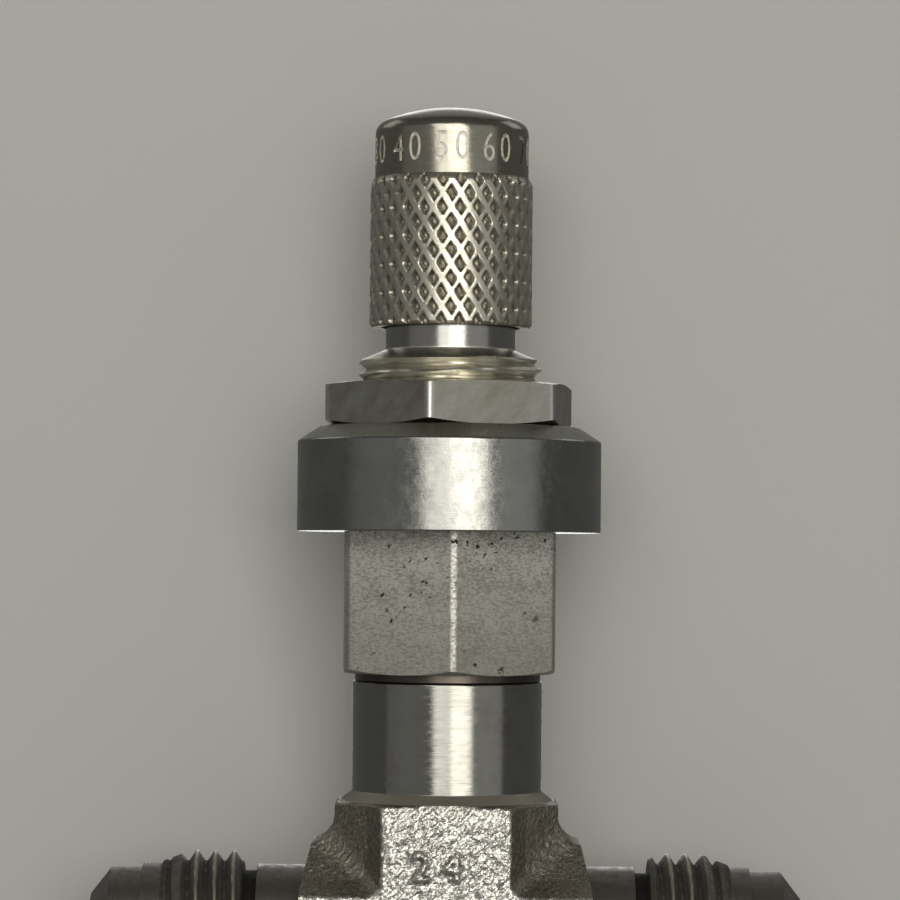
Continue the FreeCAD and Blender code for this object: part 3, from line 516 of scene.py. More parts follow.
class Wire:
    """One output of a node. Arithmetic on wires and numbers adds the Math nodes that do it."""

    def __init__(self, finish, socket):
        self.finish = finish
        self.socket = socket

    def with_other(self, operation, other, reverse=False):
        first, second = (other, self) if reverse else (self, other)
        return self.finish.node("ShaderNodeMath", {"operation": operation}, {0: first, 1: second})

    def __add__(self, other):
        return self.with_other("ADD", other)

    def __sub__(self, other):
        return self.with_other("SUBTRACT", other)

    def __rsub__(self, other):
        return self.with_other("SUBTRACT", other, reverse=True)

    def __mul__(self, other):
        return self.with_other("MULTIPLY", other)

    def __pow__(self, other):
        return self.with_other("POWER", other)

    __radd__ = __add__
    __rmul__ = __mul__


class Finish:
    """A finish being built: constants go on the shader, node() adds a node and feed() wires it in."""

    def __init__(self, name, **constants):
        self.material = bpy.data.materials.new(name)
        self.material.use_nodes = True
        self.nodes = self.material.node_tree.nodes
        self.links = self.material.node_tree.links
        self.shader = self.nodes["Principled BSDF"]
        for socket, value in constants.items():
            self.shader.inputs[socket.replace("_", " ")].default_value = value

    def node(self, kind, settings, sockets, output=0):
        made = self.nodes.new(kind)
        for name, value in settings.items():
            setattr(made, name, value)
        for socket, value in sockets.items():
            if isinstance(value, Wire):
                self.links.new(value.socket, made.inputs[socket])
            else:
                made.inputs[socket].default_value = value
        return Wire(self, made.outputs[output])

    def feed(self, socket, wire):
        self.links.new(wire.socket, self.shader.inputs[socket])

    def place(self, stretch=(1, 1, 1), turn=(0, 0, 0), move=(0, 0, 0), spot=None):
        """The object's own coordinates in metres, or spot: stretched, then turned and moved."""
        spot = spot or self.node("ShaderNodeTexCoord", {}, {}, output=3)
        sockets = {"Vector": spot, "Scale": stretch, "Rotation": turn, "Location": move}
        return self.node("ShaderNodeMapping", {}, sockets)

    def parts(self, spot):
        split = self.node("ShaderNodeSeparateXYZ", {}, {0: spot}).socket.node
        return [Wire(self, output) for output in split.outputs]

    def noise(self, spot, per_mm, detail=2.0, roughness=0.5):
        sockets = {"Vector": spot, "Scale": per_mm / MM, "Detail": detail, "Roughness": roughness}
        return self.node("ShaderNodeTexNoise", {}, sockets)

    def ramp(self, wire, low, high, bottom=0.0, top=1.0):
        """wire from low to high, as bottom to top, and no further."""
        sockets = {"Value": wire, "From Min": low, "From Max": high, "To Min": bottom, "To Max": top}
        return self.node("ShaderNodeMapRange", {"clamp": True}, sockets)

    def mix(self, share, first, second):
        """The colour first where share is 0 and second where it is 1."""
        sockets = {0: share, 6: colour4(first), 7: colour4(second)}
        return self.node("ShaderNodeMix", {"data_type": "RGBA"}, sockets, output=2)

    def relief(self, height, depth):
        """Bumps depth metres high where height runs from 0 to 1."""
        bump = self.node("ShaderNodeBump", {}, {"Height": height, "Distance": depth})
        self.feed("Normal", bump)


def colour4(colour):
    return colour if isinstance(colour, Wire) else (*colour, 1)


PAD_COLOURS = ((0.82, 0.79, 0.71), (1.0, 0.985, 0.92))
FLANK_COLOURS = ((0.26, 0.235, 0.19), (0.50, 0.46, 0.38))
CRACK_AND_SHADE_COLOUR = (0.13, 0.115, 0.09)
worn_from = 7.15 * MM
worn_to = 7.42 * MM


def forged_finish():
    """Blasted skin: slanting wrinkles and dark cracks, bright on the worn pads, brown where it lies back."""
    finish = Finish("forged_steel", Metallic=1.0)
    spot = finish.place()
    slanting = finish.place(stretch=(1, 1, 0.45), spot=finish.place(turn=(0, -grain_slant, 0)))
    wrinkle = finish.noise(slanting, 3.0, detail=3.0, roughness=0.55)
    grain = finish.noise(spot, 6.0, detail=3.0)
    crack = finish.ramp((wrinkle - 0.5) ** 2, 0.0, 0.0010, 1.0, 0.0) * finish.ramp(grain, 0.40, 0.56)
    depth = finish.parts(spot)[1]
    worn = finish.ramp(depth**2, worn_from**2, worn_to**2)
    crease = finish.node("ShaderNodeNewGeometry", {}, {}, output=7)
    # Painted shade: concave creases, round the die number and in the skin, are darkened towards the crack
    # colour.
    dirt_and_shade = finish.ramp(crease, 0.46, 0.495, 1.0, 0.0)
    bright = finish.mix(finish.ramp(grain, 0.35, 0.65), *PAD_COLOURS)
    brown = finish.mix(finish.ramp(grain, 0.35, 0.65), *FLANK_COLOURS)
    tint = finish.mix(worn, brown, bright)
    finish.feed("Base Color", finish.mix(dirt_and_shade * 0.6 + crack * 0.45, tint, CRACK_AND_SHADE_COLOUR))
    finish.feed("Roughness", finish.ramp(grain, 0.2, 0.8, 0.34, 0.50) - worn * 0.13)
    finish.relief((wrinkle * 2.0 + grain * 0.4 - crack * 0.4) * (worn * 0.3 + 0.5), 0.13 * MM)
    return finish.material


dress(forging, forged_finish())
only(forging)
bpy.ops.object.shade_smooth_by_angle(angle=math.radians(50))
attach(forging, "valve")
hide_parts("valve_body")

# Valve body, barrel: the turned top of the same forging, with a conical shoulder at its foot and a
# threaded socket inside that takes the bonnet. It is bright, with fine tool lines round it.
barrel_radius = 6.535 * MM
barrel_foot = 17.3 * MM
barrel_top = 24.9 * MM
barrel_root = post_top - 0.6 * MM
edge_break = 0.15 * MM
barrel_edge = 0.06 * MM
BARREL_COLOUR = (0.40, 0.393, 0.36)
STAIN_COLOUR = (0.25, 0.235, 0.19)
CONE_COLOUR = (0.30, 0.27, 0.215)
barrel = turn(
    "turned_barrel",
    [
        (socket_radius, barrel_root),
        (shoulder_radius, barrel_root),
        (shoulder_radius, post_top),
        (barrel_radius, barrel_foot),
        (barrel_radius, barrel_top - edge_break),
        (barrel_radius - edge_break, barrel_top),
        (socket_radius + edge_break, barrel_top),
        (socket_radius, barrel_top - edge_break),
        (socket_radius, barrel_root),
    ],
)
sharp = math.radians(25)
apply_modifier(barrel, "BEVEL", width=barrel_edge, segments=2, limit_method="ANGLE", angle_limit=sharp)


def turned_finish():
    """Bright turned steel: fine lines round it, faint stains, and a brown film on the cone at its foot."""
    finish = Finish("turned_steel", Metallic=1.0)
    spot = finish.place()
    height = finish.parts(spot)[2]
    lines = finish.noise(finish.place(stretch=(0.02, 0.02, 1)), 12.0, detail=3.0, roughness=0.7)
    smear = finish.noise(finish.place(stretch=(0.2, 0.2, 1)), 3.0, detail=5.0, roughness=0.65)
    stain = finish.ramp(finish.noise(spot, 0.5, detail=4.0), 0.52, 0.70)
    darkening = finish.ramp(height, barrel_foot - 0.05 * MM, barrel_foot + 0.1 * MM, 0.85, 0.0)
    streaks = finish.ramp(lines, 0.35, 0.65) * 0.15
    steel = finish.mix(stain * 0.35 + streaks, BARREL_COLOUR, STAIN_COLOUR)
    finish.feed("Base Color", finish.mix(darkening, steel, CONE_COLOUR))
    finish.feed("Roughness", finish.ramp(smear, 0.4, 0.65, 0.08, 0.22) + darkening * 0.35)
    finish.feed("Metallic", 1 - darkening * 0.6)
    finish.relief(lines + smear, 0.005 * MM)
    return finish.material


dress(barrel, turned_finish())
smooth(barrel, degrees=25)
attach(barrel, "valve")
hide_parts("valve_body")

# Valve body, ports: a turned male thread each side, with a plain neck, a relief groove, a plain length
# and a coned nose that seals. They are dull and brown, with dirt and painted shade in the thread's roots,
# painted shade in the relief groove and a painted highlight on the crests.
port_root = 9.4 * MM
port_neck_radius = 4.625 * MM
port_neck_end = 12.95 * MM
port_relief_radius = 4.2 * MM
port_thread_radius = 5.556 * MM
port_thread_foot = 13.95 * MM
port_thread_top = 19.45 * MM
port_thread_pitch = 1.27 * MM
port_thread_depth = 0.72 * MM
port_thread_bevel = 0.4 * MM
port_thread_rings = 24
port_lead_length = 1.9 * MM
port_lead_drop = 0.75 * MM
port_plain_radius = 4.65 * MM
port_plain_end = 20.85 * MM
nose_radius = 4.35 * MM
nose_foot = 23.05 * MM
nose_tip_radius = 2.6 * MM
port_end = 24.4 * MM


def ring_out(low, high, spacing):
    """In edit mode, cut the long edges that run from low to high into rings spacing apart."""
    select_edges(lambda a, b: abs(min(a.z, b.z) - low) < TINY and abs(max(a.z, b.z) - high) < TINY)
    bpy.ops.mesh.subdivide(number_cuts=round((high - low) / spacing) - 1)


def cut_thread(piece, low, high, crest, pitch, depth, envelope, start=0):
    """Sink a right-handed vee thread into the rings between low and high, within envelope(height)."""
    crest_flat = 0.12  # as shares of half a turn
    root_flat = 0.14
    for corner in piece.data.vertices:
        spot = corner.co
        radius = math.hypot(spot.x, spot.y)
        if not low - TINY < spot.z < high + TINY or radius < crest - TINY:
            continue
        phase = (spot.z / pitch - start - math.atan2(spot.y, spot.x) / math.tau) % 1
        fall = (abs(2 * phase - 1) - crest_flat) / (1 - crest_flat - root_flat)
        fall = min(max(fall, 0), 1)
        wanted = min(crest - depth * fall, envelope(spot.z))
        spot.x *= wanted / radius
        spot.y *= wanted / radius


def port_envelope(height):
    from_foot = max(port_thread_bevel - (height - port_thread_foot), 0)
    lead = max(height - (port_thread_top - port_lead_length), 0) * port_lead_drop / port_lead_length
    return port_thread_radius - from_foot - lead


port = turn(
    "threaded_port",
    [
        (port_bore_radius, port_root),
        (port_neck_radius, port_root),
        (port_neck_radius, port_neck_end),
        (port_relief_radius, port_neck_end),
        (port_relief_radius, port_thread_foot),
        (port_thread_radius, port_thread_foot),
        (port_thread_radius, port_thread_top),
        (port_plain_radius, port_thread_top),
        (port_plain_radius, port_plain_end),
        (nose_radius, port_plain_end),
        (nose_radius, nose_foot),
        (nose_tip_radius, port_end),
        (port_bore_radius, port_end),
        (port_bore_radius, port_root),
    ],
)
edit(port)
ring_out(port_thread_foot, port_thread_top, port_thread_pitch / port_thread_rings)
leave_edit()
cut_thread(
    port,
    port_thread_foot,
    port_thread_top,
    port_thread_radius,
    port_thread_pitch,
    port_thread_depth,
    port_envelope,
)

PORT_COLOUR = (0.25, 0.24, 0.21)
PORT_STAIN_COLOUR = (0.15, 0.138, 0.115)
CREST_HIGHLIGHT_COLOUR = (0.62, 0.56, 0.42)
ROOT_DIRT_AND_SHADE_COLOUR = (0.045, 0.038, 0.03)
GROOVE_SHADE_COLOUR = (0.008, 0.007, 0.006)


def port_finish():
    """Dull, brown-grey turned steel about the X axis, with dirt and painted shade below the thread's crests.
    """
    finish = Finish("port_steel", Metallic=0.9)
    spot = finish.place(move=(0, 0, -port_axis))
    across = finish.parts(spot)
    reach = (across[1] ** 2 + across[2] ** 2) ** 0.5
    grit = finish.noise(spot, 1.6, detail=5.0, roughness=0.65)
    lines = finish.noise(finish.place(stretch=(1, 0.03, 0.03)), 9.0, detail=3.0)
    along = across[0] ** 2

    def before(start, end):
        """1 nearer the middle of the valve than start, on both sides, and 0 beyond end."""
        return finish.ramp(along, start**2, end**2, 1.0, 0.0)

    fade = 0.05 * MM
    root = port_thread_radius - port_thread_depth
    past_neck = finish.ramp(along, (port_neck_end - fade) ** 2, (port_neck_end + fade) ** 2)
    on_thread = past_neck * before(port_thread_top - fade, port_thread_top + 3 * fade)
    deep = finish.ramp(reach, root, port_thread_radius - 0.12 * MM, 1.0, 0.0)
    # Dirt and painted shade darken the thread's roots.
    dirt_and_shade = deep * on_thread * finish.ramp(grit, 0.30, 0.50, 0.5, 1.0)
    # Painted highlight: the thread's crests are painted a pale gold.
    crest = finish.ramp(reach, port_thread_radius - 0.14 * MM, port_thread_radius - 0.04 * MM) * on_thread
    stain = finish.ramp(grit, 0.45, 0.65)
    steel = finish.mix(stain * 0.6, PORT_COLOUR, PORT_STAIN_COLOUR)
    steel = finish.mix(crest * 0.8, steel, CREST_HIGHLIGHT_COLOUR)
    steel = finish.mix(dirt_and_shade, steel, ROOT_DIRT_AND_SHADE_COLOUR)
    # Painted shade: the relief groove is painted nearly black.
    groove_shade = on_thread * before(port_thread_foot - 2 * fade, port_thread_foot)
    finish.feed("Base Color", finish.mix(groove_shade, steel, GROOVE_SHADE_COLOUR))
    finish.feed("Roughness", finish.ramp(lines, 0.3, 0.7, 0.30, 0.42) + stain * 0.12 + dirt_and_shade * 0.3)
    finish.feed("Metallic", dirt_and_shade * -0.8 + 0.95)
    finish.relief(lines * 0.4 + grit * (dirt_and_shade * 3.0 + 0.3), 0.02 * MM)
    return finish.material


dress(port, port_finish())
smooth(port, degrees=30)
bpy.ops.object.duplicate()
other_port = bpy.context.object
other_port.name = "threaded_port_left"
port.name = "threaded_port_right"
for piece, way in ((port, 1), (other_port, -1)):
    only(piece)
    piece.rotation_euler = (0, way * math.pi / 2, 0)
    piece.location = (0, 0, port_axis)
    bpy.ops.object.transform_apply(location=True, rotation=True)
    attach(piece, "valve")
    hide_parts("valve_body")

# Bonnet: one bar of steel with a blasted hex, a seat ring under it, the panel thread and a plain neck.
# It screws into the barrel, and is bored through for the bellows, the bushes and the seals.
bonnet_low, bonnet_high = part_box("bonnet")
bonnet_foot = bonnet_low.z
neck_top = bonnet_high.z
hex_across = 14.29 * MM
hex_foot = 25.4 * MM
hex_top = 35.12 * MM
hex_foot_bevel = 0.36 * MM
hex_top_bevel = 0.02 * MM
hex_corner_round = 0.34 * MM
hex_turn = math.radians(2.6)
hex_worn_reach = (8.02 * MM, 8.12 * MM)
panel_radius = 6.35 * MM
panel_thread_foot = hex_top - 1 * MM
panel_thread_top = 47.7 * MM
panel_thread_bevel = 0.8 * MM
panel_thread_start = 0.57
panel_thread_rings = 20
panel_pitch = 0.907 * MM
panel_depth = 0.52 * MM
neck_radius = 4.5 * MM
spigot_radius = 5.25 * MM
seat_ring_radius = 6.4 * MM
seat_ring_top = hex_top - 2 * MM
bellows_bore = 4.0 * MM
bellows_bore_top = 32.99 * MM
bush_bore = 3.6 * MM
bush_bore_top = 46.99 * MM
screw_bore = 2.6 * MM
screw_bore_top = 50.785 * MM
lip_bore = 2.1 * MM
lip_top = 51.585 * MM
gland_bore = 3.3 * MM
BLASTED_COLOURS = ((0.58, 0.56, 0.49), (1.0, 0.985, 0.91))
BLASTED_FOOT_COLOUR = (0.50, 0.48, 0.42)
PIT_COLOUR = (0.07, 0.06, 0.05)
NECK_COLOUR = (0.47, 0.46, 0.435)
THREAD_COLOUR = (1.0, 0.965, 0.84)
THREAD_FILM_AND_SHADE_COLOUR = (0.26, 0.235, 0.165)
SEAT_RING_STAIN_AND_SHADE_COLOUR = (0.085, 0.068, 0.054)


def hexagon(name, across, foot, top, turned, corner_round, lower_bevel, upper_bevel):
    """A hex with slightly rounded corners, its ends coned off towards the corners."""
    tip = across / math.sqrt(3)
    beyond = 2 * tip - across / 2
    tall = top - foot
    bpy.ops.object.select_all(action="DESELECT")
    bpy.ops.mesh.primitive_cylinder_add(
        vertices=6, radius=tip, depth=tall, location=(0, 0, (foot + top) / 2), rotation=(0, 0, turned)
    )
    piece = bpy.context.object
    piece.name = name
    settle(piece)
    edit(piece)
    select_edges(lambda a, b: abs(a.z - b.z) > tall / 2)
    bpy.ops.mesh.bevel(offset=corner_round, segments=3, profile=0.5, affect="EDGES")
    leave_edit()
    cone = turn(
        "cone",
        [
            (0, foot),
            (across / 2, foot),
            (beyond, foot + 2 * lower_bevel),
            (beyond, top - 2 * upper_bevel),
            (across / 2, top),
            (0, top),
        ],
    )
    combine(piece, cone, "INTERSECT")
    return piece


bonnet = hexagon(
    "hex_bonnet", hex_across, hex_foot, hex_top, hex_turn, hex_corner_round, hex_foot_bevel, hex_top_bevel
)
spigot = turn(
    "spigot",
    [
        (0, bonnet_foot),
        (spigot_radius, bonnet_foot),
        (spigot_radius, barrel_top),
        (seat_ring_radius, barrel_top),
        (seat_ring_radius, seat_ring_top),
        (0, seat_ring_top),
    ],
)
combine(bonnet, spigot, "UNION")
neck = turn(
    "panel_thread",
    [
        (0, panel_thread_foot),
        (panel_radius, panel_thread_foot),
        (panel_radius, panel_thread_top),
        (neck_radius, panel_thread_top),
        (neck_radius, neck_top),
        (0, neck_top),
    ],
)
edit(neck)
ring_out(panel_thread_foot, panel_thread_top, panel_pitch / panel_thread_rings)
leave_edit()


def panel_envelope(height):
    over = max(height - panel_thread_top + panel_thread_bevel, 0)
    return panel_radius - (panel_radius - neck_radius) * over / panel_thread_bevel


cut_thread(
    neck,
    panel_thread_foot,
    panel_thread_top,
    panel_radius,
    panel_pitch,
    panel_depth,
    panel_envelope,
    start=panel_thread_start,
)
settle(neck)
combine(bonnet, neck, "UNION")
bonnet_bore = turn(
    "bonnet_bore",
    [
        (0, bonnet_foot - overrun),
        (bellows_bore, bonnet_foot - overrun),
        (bellows_bore, bellows_bore_top),
        (bush_bore, bellows_bore_top),
        (bush_bore, bush_bore_top),
        (screw_bore, bush_bore_top),
        (screw_bore, screw_bore_top),
        (lip_bore, screw_bore_top),
        (lip_bore, lip_top),
        (gland_bore, lip_top),
        (gland_bore, neck_top + overrun),
        (0, neck_top + overrun),
    ],
    sides=72,
)
combine(bonnet, bonnet_bore, "DIFFERENCE")
settle(bonnet)


def blasted_finish():
    """Blasted flats: an even grain that runs across, dark pits near the top, and worn bright corners."""
    finish = Finish("blasted_steel", Metallic=1.0)
    spot = finish.place()
    across = finish.parts(spot)
    reach = (across[0] ** 2 + across[1] ** 2) ** 0.5
    grain = finish.noise(finish.place(stretch=(1, 1, 2.2)), 3.2, detail=5.0, roughness=0.72)
    drift = finish.noise(finish.place(stretch=(1, 1, 1.6)), 0.5, detail=3.0)
    near_top = finish.ramp(across[2], hex_top - 5 * MM, hex_top - 1 * MM, -0.03, 0.07)
    clusters = finish.ramp(finish.noise(spot, 0.35, detail=2.0) + near_top, 0.50, 0.58)
    slanting = finish.place(stretch=(1, 1, 0.6), spot=finish.place(turn=(0, -0.8, 0)))
    speck = finish.noise(slanting, 2.4, detail=3.0, roughness=0.6)
    pits = finish.ramp(speck, 0.635, 0.66) * clusters
    corner = finish.ramp(reach, *hex_worn_reach)
    # The flats are darker towards the foot.
    darkening = finish.ramp(across[2], hex_foot, hex_top, 0.6, 0.0)
    steel = finish.mix(finish.ramp(grain * 0.8 + drift * 0.2, 0.43, 0.55), *BLASTED_COLOURS)
    steel = finish.mix(darkening, steel, BLASTED_FOOT_COLOUR)
    finish.feed("Base Color", finish.mix(pits, steel, PIT_COLOUR))
    rough = finish.ramp(grain, 0.3, 0.7, 0.66, 0.54) - corner * finish.ramp(grain, 0.40, 0.55) * 0.25
    finish.feed("Roughness", rough)
    finish.relief(grain * 0.8 - pits * 1.2, 0.055 * MM)
    return finish.material


def threaded_finish():
    """Turned steel: a golden film, with painted shade down in the thread and on the brown seat ring."""
    finish = Finish("threaded_steel", Metallic=1.0)
    spot = finish.place()
    across = finish.parts(spot)
    reach = (across[0] ** 2 + across[1] ** 2) ** 0.5
    grit = finish.noise(spot, 1.8, detail=4.0, roughness=0.6)
    lines = finish.noise(finish.place(stretch=(0.03, 0.03, 1)), 10.0, detail=3.0)
    on_thread = finish.ramp(across[2], panel_thread_top, panel_thread_top + 0.1 * MM, 1.0, 0.0)
    below_bevel = finish.ramp(across[2], panel_thread_top - panel_thread_bevel, panel_thread_top, 1.0, 0.0)
    # Painted shade darkens the thread's roots below the bevel, and the grit adds a patchy golden film.
    deep = finish.ramp(reach, panel_radius - panel_depth, panel_radius - 0.1 * MM, 1.0, 0.0) * below_bevel
    darkening = deep * 0.45 + finish.ramp(grit, 0.5, 0.7) * 0.2
    bright = finish.mix(on_thread, NECK_COLOUR, THREAD_COLOUR)
    steel = finish.mix(darkening, bright, THREAD_FILM_AND_SHADE_COLOUR)
    # The seat ring is painted dark brown: its brown stain, and painted shade under the hex.
    under_hex = finish.ramp(across[2], hex_foot, hex_foot + 0.1 * MM, 1.0, 0.0)
    finish.feed("Base Color", finish.mix(under_hex * 0.95, steel, SEAT_RING_STAIN_AND_SHADE_COLOUR))
    finish.feed("Roughness", finish.ramp(lines, 0.3, 0.7, 0.14, 0.22) + on_thread * 0.12)
    finish.relief(lines * 0.5 + grit * 0.5, 0.005 * MM)
    return finish.material


dress(bonnet, blasted_finish(), threaded_finish())
for face in bonnet.data.polygons:
    face.material_index = int(face.center.z > hex_top - TINY or face.center.z < hex_foot)
smooth(bonnet, degrees=30)
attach(bonnet, "valve")
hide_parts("bonnet")

# Panel collar: a plain turned ring that slides over the panel thread and rests on the hex. Its edges are
# bevelled, and its sides are polished, with a haze of fine scratches.
collar_low, collar_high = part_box("panel_collar")
collar_radius = collar_high.x
collar_bore = 6.45 * MM
collar_bevel_width = 1.5 * MM
collar_bevel_height = 1.0 * MM
collar_edge = 0.12 * MM
COLLAR_COLOURS = ((0.355, 0.358, 0.335), (0.41, 0.41, 0.38))
COLLAR_BEVEL_COLOUR = (0.37, 0.36, 0.30)
collar = turn(
    "plain_collar",
    [
        (collar_bore, collar_low.z),
        (collar_radius, collar_low.z),
        (collar_radius, collar_high.z - collar_bevel_height),
        (collar_radius - collar_bevel_width, collar_high.z),
        (collar_bore, collar_high.z),
        (collar_bore, collar_low.z),
    ],
    sides=192,
)
apply_modifier(collar, "BEVEL", width=collar_edge, segments=3, limit_method="ANGLE", angle_limit=sharp)


def collar_finish():
    """Polished ring: a haze of short scratches over fine lines round it, darker on the bevel."""
    finish = Finish("collar_steel", Metallic=1.0)
    spot = finish.place()
    height = finish.parts(spot)[2]
    lines = finish.noise(finish.place(stretch=(0.03, 0.03, 1)), 9.0, detail=3.0)
    haze = finish.noise(finish.place(stretch=(1, 1, 0.8)), 1.7, detail=6.0, roughness=0.72)
    drift = finish.noise(spot, 0.35, detail=3.0)
    bevel_foot = collar_high.z - collar_bevel_height
    on_bevel = finish.ramp(height, bevel_foot, collar_high.z - 0.9 * collar_bevel_height)
    tint = finish.mix(finish.ramp(drift, 0.35, 0.65), *COLLAR_COLOURS)
    finish.feed("Base Color", finish.mix(on_bevel, tint, COLLAR_BEVEL_COLOUR))
    spread = finish.ramp(haze, 0.38, 0.62, 0.12, 0.30) + finish.ramp(lines, 0.3, 0.7, -0.03, 0.03)
    finish.feed("Roughness", spread + on_bevel * 0.15)
    finish.relief(haze + lines * 0.2, 0.013 * MM)
    return finish.material


dress(collar, collar_finish())
smooth(collar, degrees=20)
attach(collar, "valve")
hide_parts("panel_collar")

# Panel nut: a thin hex nut on the panel thread, down on the collar. It is bar stock with smooth flats,
# coned at both faces, and its corners are worn bright.
nut_low, nut_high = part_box("panel_nut")
nut_across = 15.875 * MM
nut_bore_radius = 6.4 * MM
nut_foot_bevel = 0.37 * MM
nut_top_bevel = 0.2 * MM
nut_corner_round = 0.22 * MM
nut_turn = math.radians(-8.9)
nut_worn_reach = (8.94 * MM, 9.04 * MM)
NUT_COLOURS = ((0.38, 0.36, 0.295), (0.57, 0.56, 0.505))
NUT_CORNER_COLOUR = (0.75, 0.73, 0.68)
nut = hexagon(
    "thin_nut", nut_across, nut_low.z, nut_high.z, nut_turn, nut_corner_round, nut_foot_bevel, nut_top_bevel
)
nut_bore = turn(
    "nut_bore",
    [
        (0, nut_low.z - overrun),
        (nut_bore_radius, nut_low.z - overrun),
        (nut_bore_radius, nut_high.z + overrun),
        (0, nut_high.z + overrun),
    ],
)
combine(nut, nut_bore, "DIFFERENCE")
settle(nut)


def nut_finish():
    """Smooth drawn flats with soft smears and fine scratches, and bright worn corners."""
    finish = Finish("nut_steel", Metallic=1.0)
    spot = finish.place()
    across = finish.parts(spot)
    reach = (across[0] ** 2 + across[1] ** 2) ** 0.5
    rising = finish.place(stretch=(1, 1, 0.3), spot=finish.place(turn=(0, -0.9, 0)))
    smears = finish.noise(rising, 0.9, detail=5.0, roughness=0.65)
    grain = finish.noise(finish.place(stretch=(0.3, 0.3, 1)), 4.0, detail=4.0, roughness=0.7)
    corner = finish.ramp(reach, *nut_worn_reach)
    tint = finish.mix(finish.ramp(smears, 0.35, 0.65), *NUT_COLOURS)
    finish.feed("Base Color", finish.mix(corner * 0.8, tint, NUT_CORNER_COLOUR))
    scratches = finish.ramp(grain, 0.3, 0.7, -0.05, 0.05)
    finish.feed("Roughness", finish.ramp(smears, 0.35, 0.65, 0.40, 0.26) + scratches)
    finish.relief(smears * 0.7 + grain * 0.3, 0.012 * MM)
    return finish.material


dress(nut, nut_finish())
smooth(nut, degrees=25)
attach(nut, "valve")
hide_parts("panel_nut")

# Handle: a nickel-plated cap turned from bar, with a diamond knurl, a smooth band with a stamped dial
# and a domed crown. It is hollow over the neck, bored for the shank and drilled for its set screw.
handle_low, handle_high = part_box("handle")
knurl_radius = 5.62 * MM
knurl_top = handle_low.z + 10.3 * MM
knurl_start = 0.2 * MM
knurl_finish = 0.45 * MM
knurl_finish_slope = 0.5
knurl_count = 28
knurl_along = 1.93 * MM
knurl_lands = (0.44 * MM, 0.27 * MM)
knurl_depth = 0.25 * MM
knurl_slope = 1.9
knurl_boss = 0.09 * MM
knurl_boss_reach = 0.2
knurl_sides = 18
knurl_rings = 28
band_radius = 5.325 * MM
crown_rise = 1.2 * MM
crown_round = 0.95 * MM
recess_radius = 4.8 * MM
recess_top = 54.985 * MM
handle_bore = 2.01 * MM
handle_bore_top = handle_high.z - 1.5 * MM
screw_height = handle_high.z - 3.4 * MM
screw_hole = 1.21 * MM
screw_hole_end = 8 * MM
BAND_COLOURS = ((0.45, 0.43, 0.36), (0.38, 0.355, 0.285))
CROWN_SHADE_COLOUR = (0.14, 0.13, 0.10)
KNURL_COLOURS = ((0.74, 0.71, 0.61), (0.62, 0.585, 0.48))
KNURL_PIT_SHADE_COLOUR = (0.21, 0.185, 0.13)
NUMERAL_HIGHLIGHT_COLOURS = ((0.95, 0.93, 0.85), (0.80, 0.77, 0.68))
dome_radius = (band_radius**2 + crown_rise**2) / (2 * crown_rise)
dome_centre = handle_high.z - dome_radius
round_centre = band_radius - crown_round
round_height = dome_centre + math.sqrt((dome_radius - crown_round) ** 2 - round_centre**2)
round_end = math.atan2(round_height - dome_centre, round_centre)


def arc(centre, height, radius, start, end, steps):
    """Corners of a lathe profile along an arc, from one angle to another."""
    angles = [start + (end - start) * step / steps for step in range(steps + 1)]
    return [(centre + radius * math.cos(angle), height + radius * math.sin(angle)) for angle in angles]


handle = turn(
    "knurled_handle",
    [
        (0, handle_bore_top),
        (handle_bore, handle_bore_top),
        (handle_bore, recess_top),
        (recess_radius, recess_top),
        (recess_radius, handle_low.z),
        (knurl_radius, handle_low.z),
        (knurl_radius, knurl_top),
        (band_radius, knurl_top),
        *arc(round_centre, round_height, crown_round, 0, round_end, 8),
        *arc(0, dome_centre, dome_radius, round_end, math.pi / 2, 12)[1:-1],
        (0, handle_high.z),
    ],
    sides=knurl_count * knurl_sides,
)

digit_height = 2.0 * MM
digit_foot = 60.43 * MM
digit_depth = 0.15 * MM
digit_margin = 0.2 * MM
digit_gap = 1.4 * MM
digit_narrowing = 0.72
dial_steps = 10


def stamp(digit, angle):
    """A numeral that stands through the band's skin at that angle from the front."""
    numeral = upright_text(digit, digit_height)
    reach = band_radius - digit_depth + text_thickness / 2
    numeral.scale = (digit_narrowing, 1, 1)
    numeral.rotation_euler = (math.pi / 2, 0, angle)
    numeral.location = (reach * math.sin(angle), -reach * math.cos(angle), digit_foot)
    return numeral


numerals = []
for step in range(1, dial_steps):
    centre = math.tau * (step / dial_steps - 0.5)
    for digit, side in ((str(step), -0.5), ("0", 0.5)):
        numerals.append(stamp(digit, centre + side * digit_gap / band_radius))
bpy.ops.object.select_all(action="DESELECT")
for numeral in numerals:
    numeral.select_set(True)
bpy.context.view_layer.objects.active = numerals[0]
bpy.ops.object.join()
dial = bpy.context.object
settle(dial)
combine(handle, dial, "DIFFERENCE")
drill(handle, (0, 0, screw_height), (0, screw_hole_end, screw_height), screw_hole)
edit(handle)
ring_out(handle_low.z, knurl_top, knurl_along / knurl_rings)
leave_edit()


def knurl_cut(spot):
    """How far the knurl sinks at spot: two sets of flat ridges cross over pits, each with a boss."""
    around = knurl_count * math.atan2(spot.y, spot.x) / math.tau
    along = (spot.z - handle_low.z - knurl_start) / knurl_along
    pitch_around = math.tau * knurl_radius / knurl_count
    square_on = pitch_around * knurl_along / math.hypot(pitch_around, knurl_along)
    shares = [abs(line - round(line)) for line in (around + along, around - along)]
    falls = [(share * square_on - land / 2) * knurl_slope for share, land in zip(shares, knurl_lands)]
    floor = min(max(min(falls), 0), knurl_depth)
    boss = max(1 - math.hypot(0.5 - shares[0], 0.5 - shares[1]) / knurl_boss_reach, 0)
    return floor - knurl_boss * boss


